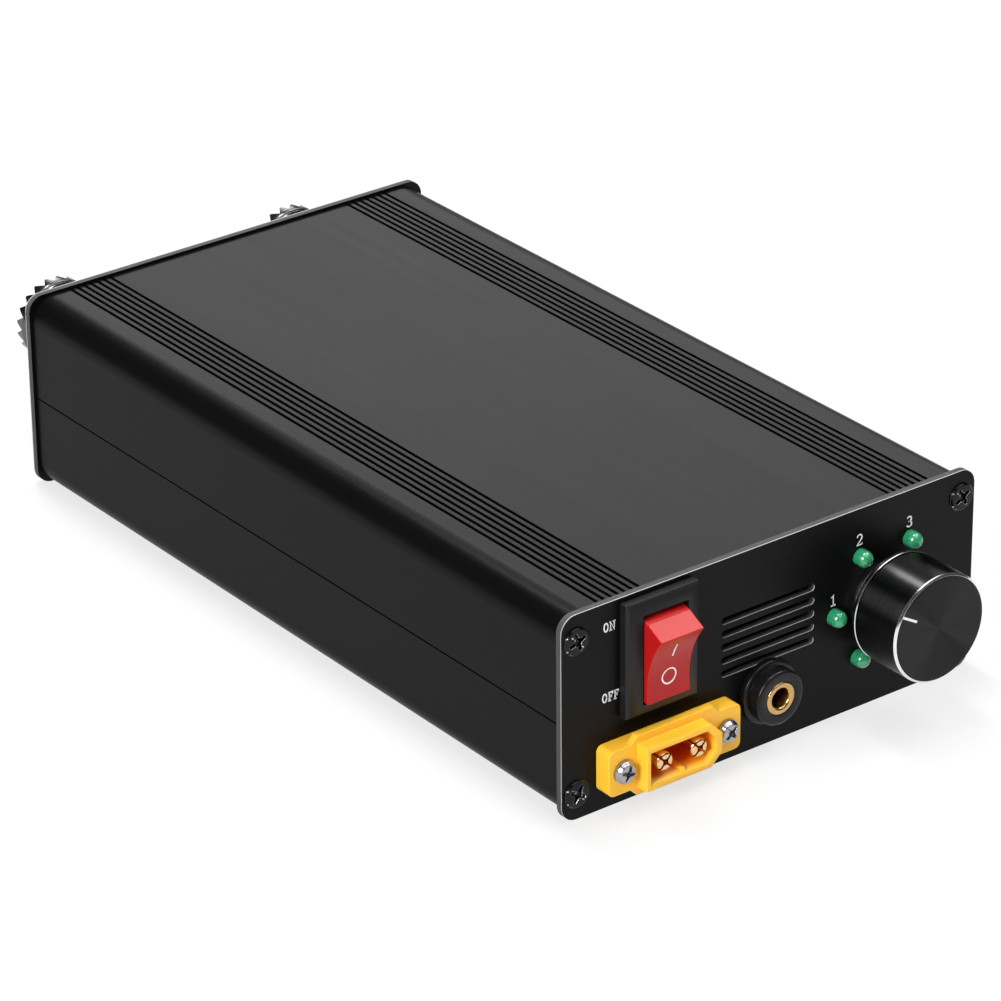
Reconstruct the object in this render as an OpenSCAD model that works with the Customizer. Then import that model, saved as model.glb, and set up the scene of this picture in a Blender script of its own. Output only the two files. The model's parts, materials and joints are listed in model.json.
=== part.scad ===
// Bench radio-frequency power amplifier in a split, grooved aluminium case.
// +Z is up, the control panel faces -Y, sizes are millimetres.

/* [Case] */
// width of the two end panels
panel_width = 88; // [60:0.5:140]
// height of the two end panels
panel_height = 37.5; // [28:0.5:60]
// thickness of an end panel
panel_thickness = 1.3; // [1:0.1:3]
// corner radius of an end panel
panel_corner_radius = 3; // [1:0.1:6]
// length over the outer faces of both end panels
case_length = 157; // [110:1:220]
// how far the case stands back from the panel edge
case_inset = 0.5; // [0.2:0.1:2]
// wall of the case
case_wall = 1.5; // [1.2:0.1:3]
// outer radius of the upper edges
upper_edge_radius = 4.8; // [2:0.1:8]
// outer radius of the lower edges
lower_edge_radius = 3.8; // [2:0.1:8]
// height of the seam between the two half shells
seam_height = 17.7; // [12:0.1:24]
// open width of the seam line
seam_gap = 0.3; // [0.1:0.1:0.8]
// height of the tongue above the lower shell's edge
tongue_height = 1.85; // [1:0.05:3]
// thickness of the tongue
tongue_thickness = 0.7; // [0.4:0.1:1.2]
// play of the tongue in its rebate
tongue_clearance = 0.05; // [0.02:0.01:0.2]

/* [Cooling grooves] */
// grooves in each group along the top
groove_count = 7; // [3:1:9]
// distance from groove to groove
groove_pitch = 1.42; // [1.1:0.02:2]
// width of a groove
groove_width = 0.7; // [0.4:0.05:1]
// depth of a groove
groove_depth = 0.6; // [0.2:0.05:0.9]
// middle of a groove group from the case's side
groove_group_inset = 12.65; // [8:0.05:20]

/* [Case screws] */
// distance of a screw column from the panel's side
case_screw_inset_x = 3; // [2.8:0.1:6]
// distance of a screw row from the panel's edge
case_screw_inset_z = 4.75; // [3.5:0.05:8]
// diameter of a screw head
case_screw_head_diameter = 5; // [4:0.1:6]
// height of a screw head
case_screw_head_height = 0.6; // [0.4:0.1:2]
// diameter of a screw shank
case_screw_diameter = 2.4; // [2:0.1:3]
// length of a screw under its head
case_screw_length = 10; // [6:0.5:16]
// outer radius of the screw channel in the shells
screw_channel_radius = 2.6; // [2.2:0.1:3.5]

/* [Board rails] */
// height of the boards' underside
board_level = 9; // [7:0.1:14]
// thickness of a circuit board
board_thickness = 1.6; // [1:0.1:2.4]
// play of a board in its slot
board_slot_clearance = 0.1; // [0.05:0.05:0.4]
// thickness of a rail rib
rail_thickness = 1.4; // [0.8:0.1:2.5]
// how far a rail stands out of the wall
rail_depth = 1.8; // [1:0.1:3]

/* [Vent] */
// number of vent slots in the control panel
vent_count = 5; // [3:1:7]
// distance from slot to slot
vent_pitch = 2.46; // [1.8:0.02:4]
// height of a slot
vent_slot_height = 1.35; // [0.8:0.05:2]
// gap between the slots and the nearest indicator
vent_gap_right = 2.85; // [1.5:0.05:8]
// gap between the switch frame and the slots
vent_gap_left = 6.2; // [3:0.05:10]
// height of the middle slot
vent_z = 21.2; // [15:0.1:28]

/* [Power switch] */
// middle of the switch from the panel's left side
switch_inset = 19.4; // [14:0.1:30]
// height of the switch's middle, as a share of the panel's height
switch_height_share = 0.698667; // [0.69:0.000001:0.71]
// width of the switch frame
switch_frame_width = 15; // [12:0.1:20]
// share of the panel's height that the switch frame takes
switch_frame_share = 0.554667; // [0.5:0.000001:0.57]
// thickness of the frame in front of the panel
switch_frame_thickness = 1.95; // [1:0.05:3]
// How far the front of the frame rises towards the rocker
switch_frame_rise = 0.6; // [0.2:0.05:1]
// width of the switch body behind the panel
switch_body_width = 12.8; // [10:0.1:18]
// how far the switch frame stands over the body above and below
switch_flange_height = 1.2; // [0.8:0.1:2]
// depth of the switch body behind the panel face
switch_body_depth = 14; // [10:0.5:20]
// play of the switch body in the panel
switch_cutout_clearance = 0.1; // [0.05:0.05:0.4]
// width of the rocker
rocker_width = 8.8; // [7:0.05:12]
// gap beside the rocker
rocker_side_gap = 0.3; // [0.05:0.05:0.4]
// height of the switch frame above and below the rocker
rocker_opening_margin = 2.3; // [1.5:0.05:3]
// depth of the rocker's opening
rocker_opening_depth = 6.5; // [6:0.1:9]
// distance of the rocker's ridges from its pivot, outward
rocker_ridge_out = 5.7; // [4:0.05:8]
// distance of the rocker's ridges from the ends of its opening
rocker_ridge_margin = 1.5; // [1.2:0.05:3]
// depth of the hollow in the rocker's face
rocker_dish = 1.43; // [0.5:0.01:2]
// tilt of the rocker either side of its middle
rocker_tilt = 15; // [8:0.5:18]
// depth of the rocker's pivot behind the panel face
rocker_pivot_depth = 0.3; // [0:0.05:3]
// radius of the rocker's pivot pins
rocker_pin_radius = 1; // [0.6:0.05:1.5]
// running clearance of the pins in the switch body
rocker_pin_clearance = 0.05; // [0.02:0.01:0.1]
// length of a pivot pin beside the rocker
rocker_pin_length = 1.1; // [0.6:0.1:1.3]
// width of a switch tab
switch_tab_width = 4.8; // [2.8:0.1:6.3]
// thickness of a switch tab
switch_tab_thickness = 0.8; // [0.5:0.1:1]
// length of a switch tab
switch_tab_length = 8; // [5:0.5:10]
// distance between the switch tabs
switch_tab_spacing = 7.6; // [5:0.1:10]

/* [Power inlet] */
// middle of the inlet from the panel's left side
inlet_inset = 20.9; // [17:0.1:30]
// height of the middle of the inlet
inlet_z = 7.9; // [6.5:0.1:14]
// length of the mounting plate
inlet_plate_length = 27.6; // [22:0.1:36]
// height of the mounting plate
inlet_plate_height = 8.4; // [7:0.1:12]
// thickness of the mounting plate
inlet_plate_thickness = 3.3; // [2:0.1:5]
// corner radius of the mounting plate
inlet_plate_radius = 1.2; // [0.5:0.1:3]
// length of the raised middle lip
inlet_lip_length = 18.6; // [17:0.1:24]
// height of the raised middle lip
inlet_lip_height = 11.1; // [9:0.1:14]
// thickness of the raised middle lip
inlet_lip_thickness = 1.3; // [0.8:0.1:2.5]
// slanted step of the lip
inlet_lip_step = 1.4; // [0.6:0.1:2]
// length of the shroud
inlet_shroud_length = 15.8; // [14:0.1:20]
// height of the shroud
inlet_shroud_height = 8.1; // [7:0.1:10]
// reach of the shroud in front of the panel
inlet_shroud_reach = 5.8; // [4:0.1:12]
// slanted corner that keys the shroud
inlet_key_corner = 2.3; // [1.5:0.1:3]
// length of the cavity
inlet_cavity_length = 13.5; // [12:0.1:17]
// height of the cavity
inlet_cavity_height = 5.9; // [5:0.1:8]
// slanted corner of the cavity
inlet_cavity_corner = 1.7; // [1:0.1:2.5]
// offset of the cavity from the shroud's middle
inlet_cavity_offset = -0.25; // [-1:0.05:1]
// depth of the cavity floor behind the panel face
inlet_floor_depth = 2.4; // [1:0.1:6]
// depth of the inlet body behind the panel face
inlet_body_depth = 10; // [6:0.5:16]
// diameter of a contact pin
inlet_pin_diameter = 3.5; // [3:0.1:4]
// distance between the contact pins
inlet_pin_spacing = 7.2; // [7:0.05:8]
// how far a pin stands in front of the panel
inlet_pin_reach = 5.25; // [3:0.05:10]
// how much thinner a pin is inside the inlet body
inlet_pin_step = 0.25; // [0.2:0.05:0.4]
// width of the spring slots in a pin
inlet_pin_slot = 0.4; // [0.2:0.05:0.5]
// Depth of the cross slots from the tip of each inlet pin
inlet_pin_slot_depth = 0.3; // [0.2:0.05:0.35]
// distance between the mounting screws
inlet_screw_spacing = 21.5; // [19:0.1:28]
// diameter of a mounting screw
inlet_screw_diameter = 2.4; // [2:0.1:3]
// head diameter of a mounting screw
inlet_screw_head_diameter = 4.2; // [3.5:0.1:5.5]
// head height of a mounting screw
inlet_screw_head_height = 1.5; // [1:0.1:2.2]
// width across the flats of a mounting nut
inlet_nut_width = 5; // [4:0.1:5.5]
// height of a mounting nut
inlet_nut_height = 2; // [1.2:0.1:2.5]

/* [Control jack] */
// place of the jack between the inlet and the indicator board, as a share
jack_share = 0.223; // [0.05:0.001:0.95]
// height of the middle of the jack
jack_z = 10.4; // [7:0.1:20]
// bore of the jack
jack_bore_diameter = 3.6; // [2.5:0.1:6.5]
// outer diameter of the threaded bush
jack_bush_diameter = 5.9; // [5:0.1:9]
// outer diameter of the ring nut
jack_ring_diameter = 9.9; // [8:0.1:14]
// diameter of the flange at the foot of the ring nut
jack_flange_diameter = 11.5; // [9:0.1:16]
// thickness of that flange
jack_flange_thickness = 1.5; // [0.6:0.1:2.5]
// reach of the ring nut in front of the panel
jack_reach = 4.1; // [2.5:0.1:6]
// width of the jack body
jack_body_width = 9; // [7:0.1:12]
// height of the jack body
jack_body_height = 10; // [7:0.1:12]
// depth of the jack body
jack_body_depth = 13.2; // [9:0.1:18]

/* [Band selector] */
// middle of the knob from the panel's right side
selector_inset = 19.7; // [18:0.1:30]
// height of the knob's middle over the panel's middle
selector_rise = 0.31; // [-1:0.01:1]
// diameter of the knob
knob_diameter = 19.7; // [14:0.1:28]
// gap between the panel and the knob
knob_gap = 3; // [2.7:0.1:5]
// reach of the knob's face in front of the panel
knob_reach = 14; // [10:0.1:20]
// bevel around the knob's face
knob_bevel = 0.55; // [0.2:0.05:1.5]
// width of the rim at the knob's foot
knob_rim_width = 1; // [0.5:0.1:2]
// width of the groove above that rim
knob_groove_width = 0.5; // [0.3:0.1:1]
// depth of that groove
knob_groove_depth = 0.45; // [0.2:0.05:1]
// radius of the recess in the knob's back
knob_recess_radius = 6.2; // [5:0.1:8]
// depth of the recess in the knob's back
knob_recess_depth = 3; // [2.5:0.1:5]
// angle of the pointer at rest, seen from the front
pointer_angle = 150; // [60:1:240]
// length of the pointer line
pointer_length = 3.8; // [2:0.1:8]
// width of the pointer line
pointer_width = 0.7; // [0.4:0.1:1.5]
// depth of the pointer line
pointer_depth = 0.25; // [0.1:0.05:0.5]
// diameter of the selector shaft
shaft_diameter = 6; // [4:0.1:8]
// play of the knob on the shaft
shaft_seat_clearance = 0.03; // [0.01:0.01:0.1]
// running clearance of the shaft in its bush
shaft_running_clearance = 0.05; // [0.02:0.01:0.1]
// depth of the flat on the shaft
shaft_flat = 0.5; // [0.2:0.1:1]
// outer diameter of the threaded bush
selector_bush_diameter = 8.8; // [8:0.1:10]
// reach of the bush in front of the panel
selector_bush_reach = 5; // [3:0.1:5.5]
// diameter of the selector body
selector_body_diameter = 18; // [14:0.1:24]
// length of the selector body
selector_body_length = 11.4; // [8:0.1:20]
// width across the flats of the selector nut
selector_nut_width = 12; // [10:0.1:14]
// height of the selector nut
selector_nut_height = 2; // [1.5:0.1:2.2]
// thickness of the selector washer
selector_washer_thickness = 0.5; // [0.3:0.1:0.5]
// contacts around the back of the selector
selector_contact_count = 12; // [6:1:16]

/* [Indicators] */
// diameter of an indicator
lamp_diameter = 3; // [2:0.1:5]
// reach of an indicator in front of the panel
lamp_reach = 2.6; // [1:0.1:2.7]
// distance of the indicators from the knob's axis
lamp_circle_radius = 10.95; // [10:0.05:13]
// play of an indicator in the panel
lamp_clearance = 0.08; // [0.05:0.01:0.3]
// distance between the panel and the indicator board
indicator_board_gap = 2.7; // [1.5:0.1:6]
// width of the indicator board
indicator_board_width = 27.4; // [24:0.1:30]
// gap between the indicator board and the panel's upper and lower edges
indicator_board_margin = 4.55; // [4.5:0.05:6]

/* [Aerial sockets] */
// distance of a socket from the panel's side
socket_inset = 17.4; // [15:0.1:24]
// height of the sockets
socket_z = 21.8; // [14:0.1:24]
// outer diameter of a socket's thread
socket_diameter = 15.88; // [9:0.01:16]
// reach of a socket behind the rear panel
socket_reach = 19; // [14:0.1:22]
// diameter of the shoulder on the rear panel
socket_shoulder_diameter = 21; // [18:0.1:24]
// thickness of the shoulder
socket_shoulder_thickness = 2.5; // [1.5:0.1:4]
// bore of a socket
socket_bore_diameter = 12.4; // [8:0.1:13]
// depth of the open mouth of a socket
socket_mouth_depth = 8.5; // [5:0.1:12]
// diameter of the hole in the centre contact
socket_contact_bore = 4; // [3:0.05:4.2]
// outer diameter of the centre contact
socket_contact_diameter = 5.5; // [4.8:0.1:6]
// notches around the rim
rim_notch_count = 18; // [12:1:24]
// depth of a rim notch
rim_notch_depth = 0.8; // [0.3:0.1:1.5]
// width of a rim notch at the rim
rim_notch_width = 2; // [0.8:0.1:2.1]
// width across the flats of a socket nut
socket_nut_width = 19; // [17:0.1:22]
// height of a socket nut
socket_nut_height = 3; // [2:0.1:5]

/* [Boards and parts] */
// distance of the amplifier board behind the panel face
amplifier_board_start = 24; // [22:0.5:30]
// distance between the two boards
board_gap = 2; // [1:0.1:4]
// distance of the first parts from the amplifier board's front end
front_part_gap = 10; // [9:0.1:12]
// distance between the filter board and the rear panel's face
rear_board_gap = 11; // [10.5:0.1:14]
// share of the case's length that the filter board takes
filter_board_share = 0.2866; // [0.26:0.0002:0.3]
// place of the heat spreader, as a share of the case's length
spreader_share = 0.2548; // [0.24:0.0002:0.27]
// width of the heat spreader
spreader_width = 64; // [50:1:76]
// length of the heat spreader
spreader_length = 32; // [24:1:40]
// thickness of the heat spreader
spreader_thickness = 4; // [3:0.1:5]
// thickness of a transistor pad
pad_thickness = 0.25; // [0.1:0.05:0.5]
// distance between the two power transistors
transistor_spacing = 26; // [20:0.5:40]
// diameter of a transistor screw
transistor_screw_diameter = 2.9; // [2.4:0.1:3]
// length of the output transformer's core
core_length = 18; // [14:0.5:22]
// half width of that core
core_half = 14; // [12:0.5:18]
// height of that core
core_height = 14; // [11:0.5:16]
// middle of a tunnel from the middle of that core
core_hole_x = 7; // [6:0.1:8]
// radius of a tunnel in that core
core_hole_radius = 4; // [3:0.1:5]
// gap between that core and the filter board
transformer_gap = 5; // [4:0.1:8]
// length of the input transformer's core
small_core_length = 10; // [8:0.1:12]
// half width of that core
small_core_half = 6; // [5:0.1:7]
// height of that core
small_core_height = 7; // [5:0.1:9]
// middle of a tunnel from the middle of that core
small_core_hole_x = 3; // [2.5:0.1:3.5]
// radius of a tunnel in that core
small_hole_radius = 1.8; // [1.4:0.1:2.2]
// middle of that core from the board's side
small_core_inset = 13.8; // [12:0.1:16]
// middle of the capacitors and the choke from the board's side
side_part_inset = 10.8; // [10:0.1:12]
// diameter of an electrolytic capacitor
electrolytic_diameter = 8; // [5:0.1:9]
// height of an electrolytic capacitor
electrolytic_height = 12; // [8:0.5:14]
// distance between those capacitors
electrolytic_spacing = 11; // [10:0.1:13]
// middle radius of the choke's ring
choke_ring_radius = 5; // [4:0.1:6]
// thickness radius of the choke's ring
choke_wire_radius = 3; // [2:0.1:3.5]
// turns of each transformer winding
winding_turns = 3; // [1:1:4]
// radius of the winding wire
winding_wire_radius = 0.8; // [0.4:0.1:1.2]
// width of a band relay
relay_width = 7.5; // [6:0.1:10]
// length of a band relay
relay_length = 15; // [10:0.1:20]
// height of a band relay
relay_height = 10; // [6:0.1:14]
// distance of the outermost coil from the board's side
coil_row_margin = 9.3; // [8:0.1:12]
// distance between the filter board's front end and the relays
relay_margin = 7; // [6.5:0.1:9]
// distance between the relays and the middle of the coils
coil_row_gap = 9.5; // [8:0.1:10]
// middle radius of a filter coil's ring
coil_ring_radius = 4.9; // [4:0.1:6]
// thickness radius of a filter coil's core
coil_core_radius = 1.6; // [1:0.1:2]
// thickness radius over a filter coil's wire
coil_wire_radius = 2.1; // [1.5:0.1:2.5]
// radius of a power lead
power_lead_radius = 1.2; // [0.8:0.1:1.8]
// radius of a signal lead
signal_lead_radius = 0.9; // [0.5:0.1:1.5]

/* [Hidden] */
$fn = 64;
more = 0.02;
front_y = -(knob_reach + case_length + socket_reach) / 2 + knob_reach;
shell_start = panel_thickness;
shell_end = case_length - panel_thickness;
shell_half = panel_width / 2 - case_inset;
shell_top = panel_height - case_inset;
inner_half = shell_half - case_wall;
inner_floor = case_inset + case_wall;
inner_top = shell_top - case_wall;
seam_low = seam_height - seam_gap / 2;
seam_high = seam_height + seam_gap / 2;
tongue_top = seam_low + tongue_height;
screw_z = panel_height / 2;
screw_hole_radius = case_screw_diameter / 2 + 0.05;
board_half = inner_half - 0.2;
board_top = board_level + board_thickness;
slot_top = board_top + board_slot_clearance;
switch_z = switch_height_share * panel_height;
switch_frame_height = switch_frame_share * panel_height;
switch_body_height = switch_frame_height - 2 * switch_flange_height;
rocker_opening_half_height = switch_frame_height / 2 - rocker_opening_margin;
rocker_ridge_up = rocker_opening_half_height - rocker_ridge_margin;
selector_z = panel_height / 2 + selector_rise;
indicator_board_height = panel_height - 2 * indicator_board_margin;
switch_x = switch_inset - panel_width / 2;
inlet_x = inlet_inset - panel_width / 2;
selector_x = panel_width / 2 - selector_inset;
case_screw_span_x = panel_width - 2 * case_screw_inset_x;
case_screw_span_z = panel_height - 2 * case_screw_inset_z;
groove_group_offset = shell_half - groove_group_inset;
jack_low = inlet_x + inlet_plate_length / 2 + jack_flange_diameter / 2;
jack_high = selector_x - indicator_board_width / 2 - jack_body_width / 2;
jack_x = jack_low + jack_share * (jack_high - jack_low);
vent_left = switch_x + switch_frame_width / 2 + vent_gap_left;
vent_right = selector_x - lamp_circle_radius - lamp_diameter / 2 - vent_gap_right;
vent_x = (vent_left + vent_right) / 2;
vent_slot_length = vent_right - vent_left;
switch_cutout_width = switch_body_width + 2 * switch_cutout_clearance;
switch_cutout_height = switch_body_height + 2 * switch_cutout_clearance;
rocker_opening_width = rocker_width + 2 * rocker_side_gap;
rocker_dish_radius = (pow(rocker_ridge_up, 2) + pow(rocker_dish, 2)) / (2 * rocker_dish);
inlet_hole_radius = inlet_screw_diameter / 2 + 0.05;
lamp_radius = lamp_diameter / 2;
lamp_angles = [60, 120, 180, 240];
lamp_flange = 1;
indicator_front = panel_thickness + indicator_board_gap;
indicator_back = indicator_front + board_thickness;
shaft_radius = shaft_diameter / 2;
shaft_end = indicator_back + selector_body_length - 2.8;
selector_back = indicator_back + selector_body_length;
selector_bush_radius = selector_bush_diameter / 2;
selector_collar_radius = 6;
socket_x = panel_width / 2 - socket_inset;
socket_tip = case_length + socket_reach;
socket_floor = socket_tip - socket_mouth_depth;
socket_back = case_length - 9;
filter_board_length = filter_board_share * case_length;
filter_board_start = case_length - rear_board_gap - filter_board_length;
amplifier_board_length = filter_board_start - board_gap - amplifier_board_start;
spreader_start = spreader_share * case_length;
spreader_top = inner_floor + spreader_thickness;
transistor_base = spreader_top + pad_thickness;
transistor_start = spreader_start + 6;
transistor_hole_y = transistor_start + 3;
core_start = filter_board_start - transformer_gap - core_length;
core_hole_z = board_top + core_height / 2;
small_core_x = small_core_inset - board_half;
small_core_start = amplifier_board_start + front_part_gap;
small_core_z = board_top + small_core_height / 2;
relay_start = filter_board_start + relay_margin;
coil_spacing = (board_half - coil_row_margin) / 2.5;
coil_y = relay_start + relay_length + coil_row_gap;
side_part_x = board_half - side_part_inset;
coil_z = board_top + coil_ring_radius + coil_wire_radius;

// Everything is drawn with the control panel's face at y = 0 and then set in place.
module placed() {
    translate([0, front_y, 0]) children();
}

// Extrudes a front view, drawn in x and z, from y0 to y1.
module along_y(y0, y1) {
    translate([0, y1, 0]) rotate([90, 0, 0]) linear_extrude(height = y1 - y0) children();
}

// Extrudes a side view, drawn in y and z, from x0 to x1.
module along_x(x0, x1) {
    translate([x0, 0, 0]) rotate([90, 0, 90]) linear_extrude(height = x1 - x0) children();
}

// Round bar along y.
module bar_y(x, z, y0, y1, r) {
    translate([x, y0, z]) rotate([-90, 0, 0]) cylinder(h = y1 - y0, r = r);
}

// Turned piece about an axis along y; its profile is drawn as radius and y.
module turned_y(x, z) {
    translate([x, 0, z]) rotate([-90, 0, 0]) rotate_extrude() children();
}

// Box from its low corner to its high corner.
module block(low, high) {
    translate(low) cube([high[0] - low[0], high[1] - low[1], high[2] - low[2]]);
}

// Wire through a list of points, with round elbows and flat ends.
module wire(points, r) {
    for (i = [0 : len(points) - 2]) {
        a = points[i];
        b = points[i + 1];
        d = b - a;
        reach = norm(d);
        translate(a)
            rotate([0, acos(d[2] / reach), atan2(d[1], d[0])])
                cylinder(h = reach, r = r);
    }
    if (len(points) > 2) {
        for (i = [1 : len(points) - 2]) {
            translate(points[i]) sphere(r = r + 0.04);
        }
    }
}

// Front view of the case, drawn in from its outside by an inset.
module case_outline(inset) {
    half = shell_half - inset;
    low = case_inset + inset;
    high = shell_top - inset;
    rb = lower_edge_radius - inset;
    rt = upper_edge_radius - inset;
    middle = (low + high) / 2;
    translate([-half, low + rb]) square([2 * half, high - rt - low - rb]);
    translate([-half + rb, low]) square([2 * (half - rb), middle - low]);
    translate([-half + rt, middle - 1]) square([2 * (half - rt), high - middle + 1]);
    for (side = [-1, 1]) {
        translate([side * (half - rb), low + rb]) circle(r = rb);
        translate([side * (half - rt), high - rt]) circle(r = rt);
    }
}

// Rounded rectangle, drawn about its middle.
module rounded_plate(width, height, r) {
    square([width - 2 * r, height], center = true);
    square([width, height - 2 * r], center = true);
    for (sx = [-1, 1]) {
        for (sz = [-1, 1]) {
            translate([sx * (width / 2 - r), sz * (height / 2 - r)]) circle(r = r);
        }
    }
}

// The four case screw positions.
module at_case_screws() {
    for (sx = [-1, 1]) {
        for (sz = [-1, 1]) {
            translate([sx * case_screw_span_x / 2, screw_z + sz * case_screw_span_z / 2])
                children();
        }
    }
}

// Rectangle with its right-hand corners cut off at a slant.
module keyed_outline(length, height, corner) {
    polygon([
        [-length / 2, -height / 2],
        [length / 2 - corner, -height / 2],
        [length / 2, -height / 2 + corner],
        [length / 2, height / 2 - corner],
        [length / 2 - corner, height / 2],
        [-length / 2, height / 2]
    ]);
}

// Wall and screw channels shared by both half shells.
module shell_section() {
    difference() {
        union() {
            difference() {
                case_outline(0);
                case_outline(case_wall);
            }
            intersection() {
                case_outline(0);
                at_case_screws() circle(r = screw_channel_radius);
            }
        }
        at_case_screws() circle(r = screw_hole_radius);
    }
}

module upper_shell() {
    color([0.13, 0.13, 0.14]) placed() along_y(shell_start, shell_end) difference() {
        shell_section();
        translate([-shell_half - 1, -1]) square([2 * shell_half + 2, seam_high + 1]);
        for (side = [-1, 1]) {
            // rebate for the lower shell's tongue
            translate([side * inner_half - (side < 0 ? tongue_thickness + tongue_clearance : more),
                       seam_high - 1])
                square([tongue_thickness + tongue_clearance + more,
                        tongue_top + tongue_clearance - seam_high + 1]);
            for (i = [0 : groove_count - 1]) {
                translate([side * groove_group_offset
                           + (i - (groove_count - 1) / 2) * groove_pitch - groove_width / 2,
                           shell_top - groove_depth])
                    square([groove_width, groove_depth + 1]);
            }
        }
    }
}

module lower_shell() {
    color([0.15, 0.15, 0.16]) placed() along_y(shell_start, shell_end) union() {
        difference() {
            shell_section();
            translate([-shell_half - 1, seam_low]) square([2 * shell_half + 2, panel_height]);
        }
        for (side = [-1, 1]) {
            // tongue along the seam
            translate([side > 0 ? inner_half : -inner_half - tongue_thickness, seam_low - 1])
                square([tongue_thickness, tongue_height + 1]);
            // slot for the boards
            translate([side > 0 ? inner_half - rail_depth : -inner_half - 0.1,
                       board_level - rail_thickness])
                square([rail_depth + 0.1, rail_thickness]);
            translate([side > 0 ? inner_half - rail_depth : -inner_half - 0.1, slot_top])
                square([rail_depth + 0.1, rail_thickness]);
        }
    }
}

// End panel's outline.
module panel_outline() {
    translate([0, panel_height / 2])
        rounded_plate(panel_width, panel_height, panel_corner_radius);
}

module front_panel() {
    color([0.1, 0.1, 0.11]) placed() along_y(0, panel_thickness) difference() {
        panel_outline();
        at_case_screws() circle(r = case_screw_diameter / 2 + 0.2);
        translate([switch_x, switch_z])
            square([switch_cutout_width, switch_cutout_height], center = true);
        for (i = [0 : vent_count - 1]) {
            translate([vent_x, vent_z + (i - (vent_count - 1) / 2) * vent_pitch])
                rounded_plate(vent_slot_length, vent_slot_height, vent_slot_height / 2 - 0.001);
        }
        translate([inlet_x, inlet_z])
            square([inlet_shroud_length + 0.1, inlet_shroud_height + 0.1], center = true);
        for (side = [-1, 1]) {
            translate([inlet_x + side * inlet_screw_spacing / 2, inlet_z])
                circle(r = inlet_hole_radius + 0.1);
        }
        translate([jack_x, jack_z]) circle(r = jack_bush_diameter / 2 + 0.1);
        translate([selector_x, selector_z]) circle(r = selector_bush_radius + 0.1);
        for (a = lamp_angles) {
            translate([selector_x + lamp_circle_radius * cos(a), selector_z + lamp_circle_radius * sin(a)])
                circle(r = lamp_radius + lamp_clearance);
        }
    }
}

module rear_panel() {
    color([0.1, 0.1, 0.11]) placed() along_y(case_length - panel_thickness, case_length) difference() {
        panel_outline();
        at_case_screws() circle(r = case_screw_diameter / 2 + 0.2);
        for (side = [-1, 1]) {
            translate([side * socket_x, socket_z]) circle(r = socket_diameter / 2 + 0.1);
        }
    }
}

// One case screw, head towards -y, its underside at y = 0.
module case_screw() {
    head = case_screw_head_diameter / 2;
    difference() {
        turned_y(0, 0) polygon([
            [0, -case_screw_head_height],
            [head - 0.3, -case_screw_head_height],
            [head, -case_screw_head_height + 0.3],
            [head, 0],
            [case_screw_diameter / 2, 0],
            [case_screw_diameter / 2, case_screw_length - 0.8],
            [case_screw_diameter / 2 - 0.6, case_screw_length],
            [0, case_screw_length]
        ]);
        for (a = [45, 135]) {
            rotate([0, a, 0]) translate([-head * 0.6, -case_screw_head_height - more, -0.3])
                cube([head * 1.2, 0.45, 0.6]);
        }
    }
}

module front_panel_screws() {
    color([0.12, 0.12, 0.12]) placed() for (sx = [-1, 1]) {
        for (sz = [-1, 1]) {
            translate([sx * case_screw_span_x / 2, 0, screw_z + sz * case_screw_span_z / 2])
                case_screw();
        }
    }
}

module rear_panel_screws() {
    color([0.12, 0.12, 0.12]) placed() for (sx = [-1, 1]) {
        for (sz = [-1, 1]) {
            translate([sx * case_screw_span_x / 2, case_length, screw_z + sz * case_screw_span_z / 2])
                rotate([0, 0, 180]) case_screw();
        }
    }
}

// Bar with bevelled front edges that rises to a raised field, for the switch frame.
module bevelled_frame(half_x, half_z, thickness, bevel, rise, field_x, field_z) {
    intersection() {
        along_x(-half_x, half_x) polygon([
            [0, -half_z],
            [0, half_z],
            [-thickness + bevel, half_z],
            [-thickness, half_z - bevel],
            [-thickness - rise, field_z],
            [-thickness - rise, -field_z],
            [-thickness, -half_z + bevel],
            [-thickness + bevel, -half_z]
        ]);
        translate([0, 0, -half_z]) linear_extrude(height = 2 * half_z) polygon([
            [-half_x, 0],
            [-half_x, -thickness + bevel],
            [-half_x + bevel, -thickness],
            [-field_x, -thickness - rise],
            [field_x, -thickness - rise],
            [half_x - bevel, -thickness],
            [half_x, -thickness + bevel],
            [half_x, 0]
        ]);
    }
}

module switch_housing() {
    half_w = switch_body_width / 2;
    half_h = switch_body_height / 2;
    open_w = rocker_opening_width / 2;
    color([0.08, 0.08, 0.08]) placed() translate([switch_x, 0, switch_z]) difference() {
        union() {
            bevelled_frame(switch_frame_width / 2, switch_frame_height / 2, switch_frame_thickness, 0.5,
                           switch_frame_rise, open_w, rocker_opening_half_height);
            block([-half_w, -0.5, -half_h], [half_w, switch_body_depth, half_h]);
            // catches that snap behind the panel
            for (side = [-1, 1]) {
                translate([0, 0, -4]) linear_extrude(height = 8) polygon([
                    [side * (half_w - 0.3), panel_thickness],
                    [side * (half_w + 0.5), panel_thickness],
                    [side * (half_w - 0.3), panel_thickness + 4.5]
                ]);
            }
        }
        block([-open_w, -switch_frame_thickness - switch_frame_rise - 1, -rocker_opening_half_height],
              [open_w, rocker_opening_depth, rocker_opening_half_height]);
        translate([-open_w - rocker_pin_length - more, rocker_pivot_depth, 0]) rotate([0, 90, 0])
            cylinder(h = 2 * (open_w + rocker_pin_length + more),
                     r = rocker_pin_radius + rocker_pin_clearance);
    }
}

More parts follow.
